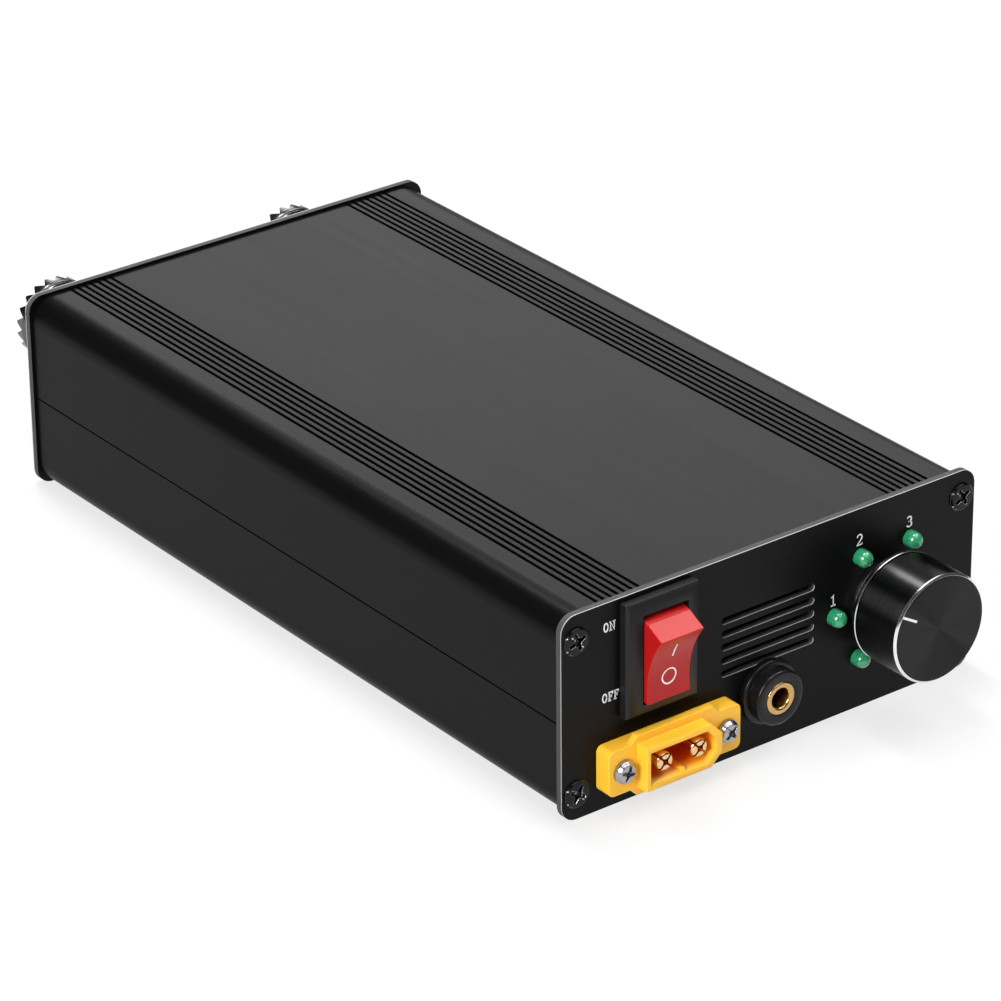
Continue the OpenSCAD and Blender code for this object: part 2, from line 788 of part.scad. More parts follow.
// The rocker about its pivot, in the middle of its travel.
module rocker_about_pivot() {
    out = rocker_ridge_out;
    up = rocker_ridge_up;
    along_x(-rocker_width / 2, rocker_width / 2) difference() {
        polygon([
            [-out, up],
            [-1.7, rocker_opening_half_height - 0.65],
            [0.5, rocker_opening_half_height - 0.5],
            [3, 5],
            [4, 3],
            [4, -3],
            [3, -5],
            [0.5, 0.5 - rocker_opening_half_height],
            [-1.7, 0.65 - rocker_opening_half_height],
            [-out, -up]
        ]);
        translate([-out + rocker_dish - rocker_dish_radius, 0]) circle(r = rocker_dish_radius);
    }
    translate([-rocker_width / 2 - rocker_side_gap - rocker_pin_length + 0.05, 0, 0]) rotate([0, 90, 0])
        cylinder(h = rocker_width + 2 * (rocker_side_gap + rocker_pin_length - 0.05), r = rocker_pin_radius);
}

module rocker() {
    color([0.75, 0.12, 0.1]) placed() translate([switch_x, rocker_pivot_depth, switch_z])
        rotate([rocker_tilt, 0, 0]) rocker_about_pivot();
}

module switch_terminals() {
    color([0.8, 0.65, 0.35]) placed() for (side = [-1, 1]) {
        z = switch_z + side * switch_tab_spacing / 2;
        difference() {
            block([switch_x - switch_tab_width / 2, switch_body_depth, z - switch_tab_thickness / 2],
                  [switch_x + switch_tab_width / 2, switch_body_depth + switch_tab_length,
                   z + switch_tab_thickness / 2]);
            translate([switch_x, switch_body_depth + switch_tab_length * 0.5, z - 1])
                cylinder(h = 2, r = 0.8);
        }
    }
}

module inlet_housing() {
    lip_x = inlet_lip_length / 2;
    lip_z = inlet_lip_height / 2;
    floor_y = inlet_floor_depth;
    color([0.95, 0.75, 0.15]) placed() translate([inlet_x, 0, inlet_z]) difference() {
        union() {
            along_y(-inlet_plate_thickness, 0)
                rounded_plate(inlet_plate_length, inlet_plate_height, inlet_plate_radius);
            along_y(-inlet_plate_thickness, -inlet_plate_thickness + inlet_lip_thickness) polygon([
                [-lip_x, -lip_z + inlet_lip_step],
                [-lip_x + inlet_lip_step, -lip_z],
                [lip_x - inlet_lip_step, -lip_z],
                [lip_x, -lip_z + inlet_lip_step],
                [lip_x, lip_z - inlet_lip_step],
                [lip_x - inlet_lip_step, lip_z],
                [-lip_x + inlet_lip_step, lip_z],
                [-lip_x, lip_z - inlet_lip_step]
            ]);
            along_y(-inlet_shroud_reach, inlet_body_depth)
                keyed_outline(inlet_shroud_length, inlet_shroud_height, inlet_key_corner);
        }
        difference() {
            along_y(-inlet_shroud_reach - 1, floor_y) translate([inlet_cavity_offset, 0])
                keyed_outline(inlet_cavity_length, inlet_cavity_height, inlet_cavity_corner);
            // low web between the pins
            block([-0.5, floor_y - 1.2, -inlet_cavity_height], [0.5, floor_y + 1, inlet_cavity_height]);
        }
        for (side = [-1, 1]) {
            bar_y(side * inlet_pin_spacing / 2, 0, -inlet_shroud_reach, inlet_body_depth + 1,
                  inlet_pin_diameter / 2 - inlet_pin_step + 0.03);
            bar_y(side * inlet_screw_spacing / 2, 0, -inlet_plate_thickness - 1, 1, inlet_hole_radius);
        }
    }
}

module inlet_pins() {
    r = inlet_pin_diameter / 2;
    cup_end = inlet_body_depth + 4.5;
    color([0.9, 0.7, 0.3]) placed() for (side = [-1, 1]) {
        translate([inlet_x + side * inlet_pin_spacing / 2, 0, inlet_z]) difference() {
            turned_y(0, 0) polygon([
                [0, -inlet_pin_reach],
                [r - 0.4, -inlet_pin_reach],
                [r, -inlet_pin_reach + 0.4],
                [r, inlet_floor_depth],
                [r - inlet_pin_step, inlet_floor_depth],
                [r - inlet_pin_step, inlet_body_depth],
                [r + 0.35, inlet_body_depth],
                [r + 0.35, cup_end],
                [r - 0.3, cup_end],
                [r - 0.3, inlet_body_depth + 1],
                [0, inlet_body_depth + 1]
            ]);
            for (a = [0, 90]) {
                rotate([0, a, 0])
                    translate([-r - 1, -inlet_pin_reach - more, -inlet_pin_slot / 2])
                        cube([2 * r + 2, inlet_pin_slot_depth + more, inlet_pin_slot]);
            }
        }
    }
}

module inlet_screws() {
    head = inlet_screw_head_diameter / 2;
    face = -inlet_plate_thickness;
    color([0.75, 0.75, 0.76]) placed() for (side = [-1, 1]) {
        translate([inlet_x + side * inlet_screw_spacing / 2, 0, inlet_z]) difference() {
            turned_y(0, 0) polygon([
                [0, face - inlet_screw_head_height],
                [head - 0.7, face - inlet_screw_head_height],
                [head - 0.2, face - inlet_screw_head_height + 0.35],
                [head, face - inlet_screw_head_height + 0.9],
                [head, face],
                [inlet_screw_diameter / 2, face],
                [inlet_screw_diameter / 2, panel_thickness + inlet_nut_height + 1.2],
                [0, panel_thickness + inlet_nut_height + 1.2]
            ]);
            for (a = [20, 110]) {
                rotate([0, a, 0]) translate([-1.2, face - inlet_screw_head_height - more, -0.28])
                    cube([2.4, 0.8, 0.56]);
            }
        }
    }
}

module inlet_nuts() {
    color([0.75, 0.75, 0.76]) placed() for (side = [-1, 1]) {
        translate([inlet_x + side * inlet_screw_spacing / 2, 0, inlet_z])
            along_y(panel_thickness, panel_thickness + inlet_nut_height) difference() {
                rotate(30) circle(r = inlet_nut_width / 2 / cos(30), $fn = 6);
                circle(r = inlet_hole_radius);
            }
    }
}

module jack_body() {
    back = panel_thickness + jack_body_depth;
    color([0.1, 0.1, 0.1]) placed() difference() {
        block([jack_x - jack_body_width / 2, panel_thickness, jack_z - jack_body_height / 2],
              [jack_x + jack_body_width / 2, back, jack_z + jack_body_height / 2]);
        bar_y(jack_x, jack_z, panel_thickness - 1, back - 1.2, jack_bore_diameter / 2 + 0.3);
    }
}

module jack_ring_nut() {
    bore = jack_bush_diameter / 2 + 0.03;
    ring = jack_ring_diameter / 2;
    color([0.08, 0.08, 0.08]) placed() turned_y(jack_x, jack_z) polygon([
        [bore, -jack_reach],
        [ring - 0.35, -jack_reach],
        [ring, -jack_reach + 0.35],
        [ring, -jack_flange_thickness],
        [jack_flange_diameter / 2 - 0.25, -jack_flange_thickness],
        [jack_flange_diameter / 2, -jack_flange_thickness + 0.25],
        [jack_flange_diameter / 2, 0],
        [bore, 0]
    ]);
}

module jack_bush() {
    color([0.8, 0.6, 0.25]) placed() turned_y(jack_x, jack_z) polygon([
        [jack_bore_diameter / 2, -jack_reach - 0.1],
        [jack_bush_diameter / 2 - 0.2, -jack_reach - 0.1],
        [jack_bush_diameter / 2, -jack_reach + 0.1],
        [jack_bush_diameter / 2, panel_thickness],
        [jack_bore_diameter / 2, panel_thickness]
    ]);
}

module jack_contacts() {
    back = panel_thickness + jack_body_depth;
    color([0.8, 0.8, 0.8]) placed() for (i = [-1, 0, 1]) {
        block([jack_x + i * 2.7 - 0.8, back, jack_z - 0.2], [jack_x + i * 2.7 + 0.8, back + 4, jack_z + 0.2]);
    }
}

module band_knob() {
    r = knob_diameter / 2;
    foot = -knob_gap;
    bore = shaft_radius + shaft_seat_clearance;
    recess = foot - knob_recess_depth;
    groove_start = foot - knob_rim_width;
    groove_end = groove_start - knob_groove_width;
    color([0.75, 0.75, 0.77]) placed() difference() {
        turned_y(selector_x, selector_z) polygon([
            [0, -knob_reach],
            [r - knob_bevel, -knob_reach],
            [r, -knob_reach + knob_bevel],
            [r, groove_end],
            [r - knob_groove_depth, groove_end],
            [r - knob_groove_depth, groove_start],
            [r, groove_start],
            [r, foot],
            [knob_recess_radius, foot],
            [knob_recess_radius, recess],
            [bore, recess],
            [bore, 2 - knob_reach],
            [0, 2 - knob_reach]
        ]);
        // pointer line in the face
        translate([selector_x, 0, selector_z]) rotate([0, -pointer_angle, 0])
            block([r - pointer_length, -knob_reach - 1, -pointer_width / 2],
                  [r + 1, -knob_reach + pointer_depth, pointer_width / 2]);
        // hole for the set screw
        translate([selector_x, -9.2, selector_z - r - 1]) cylinder(h = r + 1, r = 1.25);
    }
}

module knob_set_screw() {
    tip = selector_z - shaft_radius + shaft_flat;
    color([0.2, 0.2, 0.22]) placed() difference() {
        translate([selector_x, -9.2, tip - 5]) cylinder(h = 5, r = 1.2);
        translate([selector_x, -9.2, tip - 6]) cylinder(h = 3, r = 0.7, $fn = 6);
    }
}

module selector_shaft() {
    start = 2.1 - knob_reach;
    color([0.75, 0.75, 0.75]) placed() difference() {
        bar_y(selector_x, selector_z, start, shaft_end, shaft_radius);
        block([selector_x - shaft_radius - 1, start - 1, selector_z - shaft_radius - 1],
              [selector_x + shaft_radius + 1, start + 6, selector_z - shaft_radius + shaft_flat]);
    }
}

module selector_body() {
    bore = shaft_radius + shaft_running_clearance;
    body_r = selector_body_diameter / 2;
    color([0.12, 0.12, 0.13]) placed() turned_y(selector_x, selector_z) polygon([
        [bore, -selector_bush_reach],
        [selector_bush_radius - 0.3, -selector_bush_reach],
        [selector_bush_radius, -selector_bush_reach + 0.3],
        [selector_bush_radius, panel_thickness],
        [selector_collar_radius, panel_thickness],
        [selector_collar_radius, indicator_back],
        [body_r, indicator_back],
        [body_r, selector_back],
        [0, selector_back],
        [0, shaft_end + 0.3],
        [bore, shaft_end + 0.3]
    ]);
}

module selector_washer() {
    color([0.75, 0.75, 0.75]) placed() turned_y(selector_x, selector_z) polygon([
        [selector_bush_radius + 0.05, -selector_washer_thickness],
        [selector_nut_width / 2 + 1, -selector_washer_thickness],
        [selector_nut_width / 2 + 1, 0],
        [selector_bush_radius + 0.05, 0]
    ]);
}

module selector_nut() {
    near = -selector_washer_thickness;
    color([0.75, 0.75, 0.75]) placed() translate([selector_x, 0, selector_z])
        along_y(near - selector_nut_height, near) difference() {
            circle(r = selector_nut_width / 2 / cos(30), $fn = 6);
            circle(r = selector_bush_radius + 0.05);
        }
}

module selector_contacts() {
    color([0.8, 0.65, 0.35]) placed() translate([selector_x, 0, selector_z])
        for (i = [0 : selector_contact_count - 1]) {
            rotate([0, i * 360 / selector_contact_count, 0])
                block([6.6, selector_back, -0.5], [7, selector_back + 3.5, 0.5]);
        }
}

// One indicator on the circle around the knob.
module lamp(angle) {
    translate([selector_x + lamp_circle_radius * cos(angle), 0,
               selector_z + lamp_circle_radius * sin(angle)]) {
        bar_y(0, 0, lamp_radius - lamp_reach, panel_thickness + lamp_flange, lamp_radius);
        translate([0, lamp_radius - lamp_reach, 0]) sphere(r = lamp_radius);
        bar_y(0, 0, panel_thickness, panel_thickness + lamp_flange, lamp_radius + 0.3);
        for (side = [-1, 1]) {
            bar_y(0, side * 1.27, panel_thickness + lamp_flange - 0.2, indicator_back + 0.5, 0.25);
        }
    }
}

module band_lamps() {
    color([0.2, 0.7, 0.25]) placed() for (i = [0 : 2]) {
        lamp(lamp_angles[i]);
    }
}

module receive_lamp() {
    color([0.2, 0.7, 0.25]) placed() lamp(lamp_angles[3]);
}

module indicator_board() {
    color([0.1, 0.35, 0.2]) placed() along_y(indicator_front, indicator_back) difference() {
        translate([selector_x, selector_z - 0.1])
            square([indicator_board_width, indicator_board_height], center = true);
        translate([selector_x, selector_z]) circle(r = selector_collar_radius + 0.1);
        for (a = lamp_angles) {
            for (side = [-1, 1]) {
                translate([selector_x + lamp_circle_radius * cos(a),
                           selector_z + lamp_circle_radius * sin(a) + side * 1.27])
                    circle(r = 0.35);
            }
        }
    }
}

module amplifier_board() {
    start = amplifier_board_start;
    color([0.1, 0.35, 0.2]) placed() difference() {
        block([-board_half, start, board_level], [board_half, start + amplifier_board_length, board_top]);
        for (side = [-1, 1]) {
            x = side * transistor_spacing / 2;
            block([x - 6, transistor_start - 1, board_level - 1],
                  [x + 6, transistor_start + 20.5, board_top + 1]);
        }
    }
}

module filter_board() {
    start = filter_board_start;
    color([0.1, 0.35, 0.2]) placed()
        block([-board_half, start, board_level], [board_half, start + filter_board_length, board_top]);
}

module heat_spreader() {
    color([0.75, 0.76, 0.78]) placed() difference() {
        block([-spreader_width / 2, spreader_start, inner_floor],
              [spreader_width / 2, spreader_start + spreader_length, spreader_top]);
        for (side = [-1, 1]) {
            translate([side * transistor_spacing / 2, transistor_hole_y, inner_floor + 0.6])
                cylinder(h = spreader_thickness, r = transistor_screw_diameter / 2 + 0.05);
        }
    }
}

module transistor_pads() {
    color([0.75, 0.75, 0.7]) placed() for (side = [-1, 1]) {
        x = side * transistor_spacing / 2;
        difference() {
            block([x - 5.8, transistor_start - 0.6, spreader_top],
                  [x + 5.8, transistor_start + 16.2, transistor_base]);
            translate([x, transistor_hole_y, spreader_top - 1]) cylinder(h = 3, r = 1.9);
        }
    }
}

module output_transistors() {
    y = transistor_start;
    z = transistor_base;
    color([0.15, 0.15, 0.16]) placed() for (side = [-1, 1]) {
        x = side * transistor_spacing / 2;
        difference() {
            union() {
                block([x - 5, y, z], [x + 5, y + 15.5, z + 1.3]);
                block([x - 5, y + 6.3, z], [x + 5, y + 15.5, z + 4.4]);
                for (i = [-1, 0, 1]) {
                    block([x + i * 2.54 - 0.4, y + 15.4, z + 2.2], [x + i * 2.54 + 0.4, y + 20, z + 2.7]);
                    block([x + i * 2.54 - 0.4, y + 19.4, z + 2.2],
                          [x + i * 2.54 + 0.4, y + 20, board_top + 0.5]);
                    block([x + i * 2.54 - 0.4, y + 19.4, board_top],
                          [x + i * 2.54 + 0.4, y + 23, board_top + 0.5]);
                }
            }
            translate([x, transistor_hole_y, z - 1]) cylinder(h = 4, r = 1.8);
        }
    }
}

module transistor_screws() {
    z = transistor_base + 1.3;
    color([0.75, 0.75, 0.76]) placed() for (side = [-1, 1]) {
        translate([side * transistor_spacing / 2, transistor_hole_y, 0]) difference() {
            union() {
                translate([0, 0, inner_floor + 1])
                    cylinder(h = z - inner_floor - 1 + 0.1, r = transistor_screw_diameter / 2);
                translate([0, 0, z]) cylinder(h = 1.8, r = 2.6);
            }
            for (a = [0, 90]) {
                rotate([0, 0, a]) block([-1.6, -0.35, z + 0.9], [1.6, 0.35, z + 2]);
            }
        }
    }
}

// Ferrite block with two tunnels for the windings.
module ferrite_block(x, start, length, half, height, hole_x, hole_r) {
    difference() {
        block([x - half, start, board_top], [x + half, start + length, board_top + height]);
        for (side = [-1, 1]) {
            bar_y(x + side * hole_x, board_top + height / 2, start - 1, start + length + 1, hole_r);
        }
    }
}

module input_transformer() {
    color([0.25, 0.25, 0.27]) placed()
        ferrite_block(small_core_x, small_core_start, small_core_length, small_core_half,
                      small_core_height, small_core_hole_x, small_hole_radius);
}

module output_transformer() {
    color([0.25, 0.25, 0.27]) placed()
        ferrite_block(0, core_start, core_length, core_half, core_height, core_hole_x, core_hole_radius);
}

// One closed turn of wire through both tunnels of a ferrite block.
module turn(x, z, y0, y1, half, r) {
    for (side = [-1, 1]) {
        bar_y(x + side * half, z, y0, y1, r);
    }
    translate([x, y1, z]) rotate_extrude(angle = 180) translate([half, 0]) circle(r = r);
    translate([x, y0, z]) rotate([0, 0, 180]) rotate_extrude(angle = 180) translate([half, 0]) circle(r = r);
}

module transformer_windings() {
    color([0.75, 0.4, 0.2]) placed() {
        for (i = [0 : winding_turns - 1]) {
            turn(0, core_hole_z - core_hole_radius + 0.01 + winding_wire_radius * (2 * i + 1) + 0.02 * i,
                 core_start - 0.5, core_start + core_length + 0.5, core_hole_x, winding_wire_radius);
        }
        for (i = [0, 1]) {
            turn(small_core_x, small_core_z - small_hole_radius + 0.51 + i * 1.02, small_core_start - 0.3,
                 small_core_start + small_core_length + 0.3, small_core_hole_x, 0.5);
        }
    }
}

module filter_coil_cores() {
    color([0.75, 0.2, 0.15]) placed() for (i = [-2.5 : 1 : 2.5]) {
        translate([i * coil_spacing, coil_y, coil_z]) rotate([0, 90, 0])
            rotate_extrude() translate([coil_ring_radius, 0]) circle(r = coil_core_radius);
    }
}

module filter_coil_windings() {
    color([0.75, 0.4, 0.2]) placed() for (i = [-2.5 : 1 : 2.5]) {
        translate([i * coil_spacing, coil_y, coil_z]) rotate([0, 90, 0])
            rotate_extrude() translate([coil_ring_radius, 0]) difference() {
                circle(r = coil_wire_radius);
                circle(r = coil_core_radius + 0.02);
            }
    }
}

module band_relays() {
    color([0.2, 0.35, 0.6]) placed() for (i = [-2.5 : 1 : 2.5]) {
        x = i * coil_spacing;
        block([x - relay_width / 2, relay_start, board_top],
              [x + relay_width / 2, relay_start + relay_length, board_top + relay_height]);
    }
}

module filter_capacitors() {
    color([0.8, 0.6, 0.2]) placed() for (i = [-2 : 1 : 2]) {
        x = i * coil_spacing;
        block([x - 2, coil_y - 4, board_top], [x + 2, coil_y + 3, board_top + 8]);
    }
}

module electrolytic_capacitors() {
    color([0.15, 0.15, 0.3]) placed() for (i = [0, 1]) {
        translate([side_part_x, small_core_start + i * electrolytic_spacing, board_top])
            cylinder(h = electrolytic_height, r = electrolytic_diameter / 2);
    }
}

module power_choke() {
    color([0.75, 0.4, 0.2]) placed()
        translate([-side_part_x, core_start + choke_ring_radius + choke_wire_radius, board_top + choke_wire_radius])
            rotate_extrude() translate([choke_ring_radius, 0]) circle(r = choke_wire_radius);
}

// One aerial socket: shoulder, threaded barrel and notched rim.
module aerial_socket(x) {
    r = socket_diameter / 2;
    bore = socket_bore_diameter / 2;
    difference() {
        turned_y(x, socket_z) polygon([
            [bore, socket_back],
            [r, socket_back],
            [r, case_length],
            [socket_shoulder_diameter / 2, case_length],
            [socket_shoulder_diameter / 2, case_length + socket_shoulder_thickness],
            [r, case_length + socket_shoulder_thickness],
            [r, socket_tip],
            [bore, socket_tip]
        ]);
        for (i = [0 : rim_notch_count - 1]) {
            translate([x, 0, socket_z]) rotate([0, i * 360 / rim_notch_count, 0])
                translate([bore - 1, 0, 0]) rotate([90, 0, 90]) linear_extrude(height = r - bore + 2)
                    polygon([
                        [socket_tip - rim_notch_depth, 0],
                        [socket_tip + 0.1, rim_notch_width / 2],
                        [socket_tip + 0.1, -rim_notch_width / 2]
                    ]);
        }
    }
}

module input_socket() {
    color([0.8, 0.8, 0.8]) placed() aerial_socket(socket_x);
}

module output_socket() {
    color([0.8, 0.8, 0.8]) placed() aerial_socket(-socket_x);
}

module socket_insulators() {
    contact = socket_contact_diameter / 2;
    color([0.9, 0.88, 0.8]) placed() for (side = [-1, 1]) {
        turned_y(side * socket_x, socket_z) polygon([
            [contact + 0.02, socket_floor],
            [socket_bore_diameter / 2 - 0.02, socket_floor],
            [socket_bore_diameter / 2 - 0.02, socket_back],
            [1.65, socket_back],
            [1.65, socket_back + 4],
            [contact + 0.02, socket_back + 4]
        ]);
    }
}

module socket_contacts() {
    contact = socket_contact_diameter / 2;
    color([0.85, 0.75, 0.45]) placed() for (side = [-1, 1]) {
        difference() {
            turned_y(side * socket_x, socket_z) polygon([
                [socket_contact_bore / 2, socket_floor],
                [contact, socket_floor],
                [contact, socket_back + 4],
                [1.6, socket_back + 4],
                [1.6, socket_back - 5],
                [0, socket_back - 5],
                [0, socket_floor - 12],
                [socket_contact_bore / 2, socket_floor - 12]
            ]);
        }
    }
}

module socket_nuts() {
    near = case_length - panel_thickness;
    color([0.75, 0.75, 0.75]) placed() for (side = [-1, 1]) {
        translate([side * socket_x, 0, socket_z]) along_y(near - socket_nut_height, near) difference() {
            circle(r = socket_nut_width / 2 / cos(30), $fn = 6);
            circle(r = socket_diameter / 2 + 0.05);
        }
    }
}

module power_lead_positive() {
    px = inlet_x + inlet_pin_spacing / 2;
    cup = inlet_body_depth + 4.5;
    tab = switch_body_depth + switch_tab_length;
    low_tab = switch_z - switch_tab_spacing / 2;
    high_tab = switch_z + switch_tab_spacing / 2;
    color([0.75, 0.1, 0.1]) placed() {
        wire([[px, cup, inlet_z], [px, cup + 5, inlet_z], [switch_x, 21.5, 13.5], [switch_x, 25.5, 18],
              [switch_x, 25.5, low_tab], [switch_x, tab, low_tab]], power_lead_radius);
        wire([[switch_x, tab, high_tab], [switch_x, 29.5, high_tab], [switch_x, 29.5, board_top]],
             power_lead_radius);
    }
}

module power_lead_negative() {
    px = inlet_x - inlet_pin_spacing / 2;
    cup = inlet_body_depth + 4.5;
    color([0.1, 0.1, 0.1]) placed()
        wire([[px, cup, inlet_z], [px, cup + 4.5, inlet_z], [px - 5, 21.3, 13.5], [px - 5, 27, 16],
              [px - 5, 27, board_top]], power_lead_radius);
}

module signal_leads() {
    back = socket_back - 5;
    color([0.25, 0.25, 0.25]) placed() for (side = [-1, 1]) {
        x = side * socket_x;
        wire([[x, back, socket_z], [x, back - 2.2, socket_z], [x, back - 2.2, board_top]],
             signal_lead_radius);
    }
}

upper_shell();
lower_shell();
front_panel();
rear_panel();
front_panel_screws();
rear_panel_screws();
switch_housing();
rocker();
switch_terminals();
inlet_housing();
inlet_pins();
inlet_screws();
inlet_nuts();
jack_body();
jack_ring_nut();
jack_bush();
jack_contacts();
band_knob();
knob_set_screw();
selector_shaft();
selector_body();
selector_washer();
selector_nut();
selector_contacts();
band_lamps();
receive_lamp();
indicator_board();
amplifier_board();
filter_board();
heat_spreader();
transistor_pads();
output_transistors();
transistor_screws();
input_transformer();
output_transformer();
transformer_windings();
filter_coil_cores();
filter_coil_windings();
band_relays();
filter_capacitors();
electrolytic_capacitors();
power_choke();
input_socket();
output_socket();
socket_insulators();
socket_contacts();
socket_nuts();
power_lead_positive();
power_lead_negative();
signal_leads();
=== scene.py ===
"""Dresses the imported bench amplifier: case, panels, knob, switch, inlet, jack, lamps and sockets."""

import functools
import json
import math

import bmesh
import bpy
from bpy.props import FloatProperty, FloatVectorProperty, IntProperty, PointerProperty
from mathutils import Matrix, Vector


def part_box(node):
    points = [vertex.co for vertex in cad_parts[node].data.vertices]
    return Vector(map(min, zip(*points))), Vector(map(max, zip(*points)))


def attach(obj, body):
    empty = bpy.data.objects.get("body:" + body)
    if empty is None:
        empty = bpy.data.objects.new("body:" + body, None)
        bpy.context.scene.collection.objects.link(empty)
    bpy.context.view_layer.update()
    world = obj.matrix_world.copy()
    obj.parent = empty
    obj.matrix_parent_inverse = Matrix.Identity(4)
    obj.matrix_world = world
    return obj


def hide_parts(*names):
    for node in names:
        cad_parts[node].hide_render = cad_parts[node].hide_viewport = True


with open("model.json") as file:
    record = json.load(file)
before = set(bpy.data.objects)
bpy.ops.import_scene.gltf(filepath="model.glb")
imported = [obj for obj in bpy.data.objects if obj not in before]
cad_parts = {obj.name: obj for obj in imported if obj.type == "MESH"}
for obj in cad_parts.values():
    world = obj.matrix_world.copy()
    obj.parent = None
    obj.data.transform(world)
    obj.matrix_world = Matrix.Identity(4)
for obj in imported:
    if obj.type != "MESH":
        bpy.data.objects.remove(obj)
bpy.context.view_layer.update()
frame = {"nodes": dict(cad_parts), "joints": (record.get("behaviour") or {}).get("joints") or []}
NODES = frame["nodes"]

bl_info = {
    "name": "Bench amplifier dressing",
    "version": (1, 0, 0),
    "blender": (4, 5, 0),
    "location": "3D View > Sidebar > Amplifier",
    "description": "Builds the visible pieces and finishes of a bench amplifier around its CAD frame",
    "category": "Object",
}

MM = 0.001

# Sizes that the pieces share with the part's source, in millimetres and degrees. An angle around the
# knob starts at the control panel's right and goes up.
LAMP_RING = 10.95
LAMP_RADIUS = 1.5
BAND_ANGLES = {"1": 180, "2": 120, "3": 60}
RECEIVE_ANGLE = 240
POINTER_ANGLE = 150
PIN_RADIUS = 1.75
CUP_RADIUS = 2.1
SOCKET_RADIUS = 7.94
SOCKET_BORE = 6.2
CONTACT_RADIUS = 2.75
CONTACT_BORE = 2.0

# The rocker's printed face: how far its ends lie out from the pivot and up and down from it, how deep
# it is hollowed, and how far it leans at rest.
ROCKER_OUT = 5.7
ROCKER_UP = 6.6
ROCKER_DISH = 1.43
ROCKER_LEAN = 15

# The finishes of the turned knob, and their numbers on it.
KNOB_LOOKS = ("knob_skin", "knob_face", "cut_metal")
SKIN, FACE, CUT = range(3)

# The camera that was solved from the case's edges: its turns in degrees, its focal length, and its
# place in millimetres from the foot of the control panel.
CAMERA_TURNS = (-37.12847, 26.90572, -0.58382)
CAMERA_LENS = 181.957
CAMERA_PLACE = (-476.84189, -556.21488, 416.4786)


# ---------------------------------------------------------------- sizes and colours

def colour(name, description, value):
    """A colour that the user can change, with its default."""
    return FloatVectorProperty(name=name, description=description, subtype="COLOR", size=3,
                               min=0.0, max=1.0, default=value)


def length(name, description, value):
    """A length that the user can change, in metres, given here in millimetres."""
    return FloatProperty(name=name, description=description, subtype="DISTANCE", unit="LENGTH",
                         min=0.0, default=value * MM, precision=5)


class AmpSizes(bpy.types.PropertyGroup):
    """Sizes of the detail that the CAD frame leaves to this file."""
    case_screw_radius: length("Case screw radius", "Radius of a case screw's head", 2.5)
    case_screw_height: length("Case screw height", "Height of a case screw's head", 0.6)
    cross_length: length("Cross length", "Length of the cross in a case screw", 3.5)
    cross_width: length("Cross width", "Width of the cross in a case screw", 0.86)
    knob_bevel: length("Knob bevel", "Width of the bright bevel around the knob's face", 0.36)
    pointer_length: length("Pointer length", "Length of the line on the knob's face", 3.8)
    pointer_width: length("Pointer width", "Width of the line on the knob's face", 0.42)
    thread_pitch: length("Thread pitch", "Pitch of the thread on the aerial sockets", 1.058)
    thread_depth: length("Thread depth", "Depth of the thread on the aerial sockets", 0.55)
    notch_depth: length("Notch depth", "Depth of the notches in a socket's rim", 1.7)
    notch_count: IntProperty(name="Notches", description="Notches around a socket's rim",
                             min=8, max=30, default=20)
    soft_edge: length("Soft edge", "Rounding of moulded plastic edges", 0.28)
    print_height: length("Print height", "Thickness of the printed ink", 0.02)
    figure_height: length("Figure height", "Height of the printed figures", 1.9)
    word_height: length("Word height", "Height of the printed words", 1.5)
    stroke_width: length("Stroke width", "Width of the printed strokes", 0.24)


class AmpColours(bpy.types.PropertyGroup):
    """Colours of the finishes."""
    anodised: colour("Anodised case", "Black anodised aluminium of the two shells", (0.0024, 0.0024, 0.0026))
    lacquer: colour("Panel lacquer", "Black lacquer on the end panels", (0.0032, 0.0032, 0.0034))
    laminate: colour("Panel edge", "Bare laminate at the panels' cut edges", (0.060, 0.058, 0.056))
    switch_black: colour("Switch frame", "Moulded frame of the switch", (0.008, 0.008, 0.0084))
    rocker_red: colour("Rocker", "Red of the rocker", (0.41, 0.007, 0.007))
    inlet_yellow: colour("Inlet", "Yellow of the power inlet", (1.0, 0.53, 0.035))
    gold: colour("Gold", "Plated contact pins", (0.86, 0.58, 0.30))
    brass: colour("Brass", "Bush of the control jack", (0.62, 0.40, 0.16))
    nickel: colour("Nickel", "Plated nuts and small screws", (0.40, 0.40, 0.42))
    socket_metal: colour("Socket metal", "Dark plated brass of the aerial sockets", (0.14, 0.14, 0.145))
    # Worn bare metal on the screws' crests, which also paints the glints on their rims and cross edges.
    worn_edge_and_glint: colour("Worn edge", "Bare metal and painted glints on the crests of the black screws", (0.55, 0.55, 0.56))
    # Painted shade and glow: the redder orange that stands in for the shade in the inlet's cavity and the
    # light coming through its nylon walls.
    cavity: colour("Inlet cavity", "Painted shade and glow of the nylon inside the inlet", (1.0, 0.16, 0.005))
    knob_black: colour("Knob", "Black anodised skin of the knob", (0.030, 0.030, 0.031))
    knob_bright: colour("Knob bevel", "Bare metal where the knob's edges are cut", (0.86, 0.86, 0.87))
    lamp_green: colour("Lamps", "Green epoxy of the lamps", (0.030, 0.34, 0.15))
    ink: colour("Ink", "White print on panel and rocker", (0.90, 0.90, 0.90))
    board_green: colour("Boards", "Green mask of the circuit boards", (0.008, 0.06, 0.028))
    copper: colour("Copper", "Enamelled winding wire", (0.66, 0.27, 0.10))


def colours():
    """The colours as they are set now."""
    return bpy.context.scene.amp_colours


def sizes():
    """The sizes as they are set now."""
    return bpy.context.scene.amp_sizes


# ---------------------------------------------------------------- where the frame's parts are

def middle(node):
    """The middle of a node's box."""
    low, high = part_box(node)
    return (low + high) / 2


def face_y(node):
    """The y of a node's front, towards the control side."""
    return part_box(node)[0].y


def outward(x, y, z, back=False):
    """Sets a form built along +Z so that its +Z looks out of the control panel, or of the rear one."""
    return Matrix.Translation((x, y, z)) @ Matrix.Rotation(math.radians(-90 if back else 90), 4, "X")


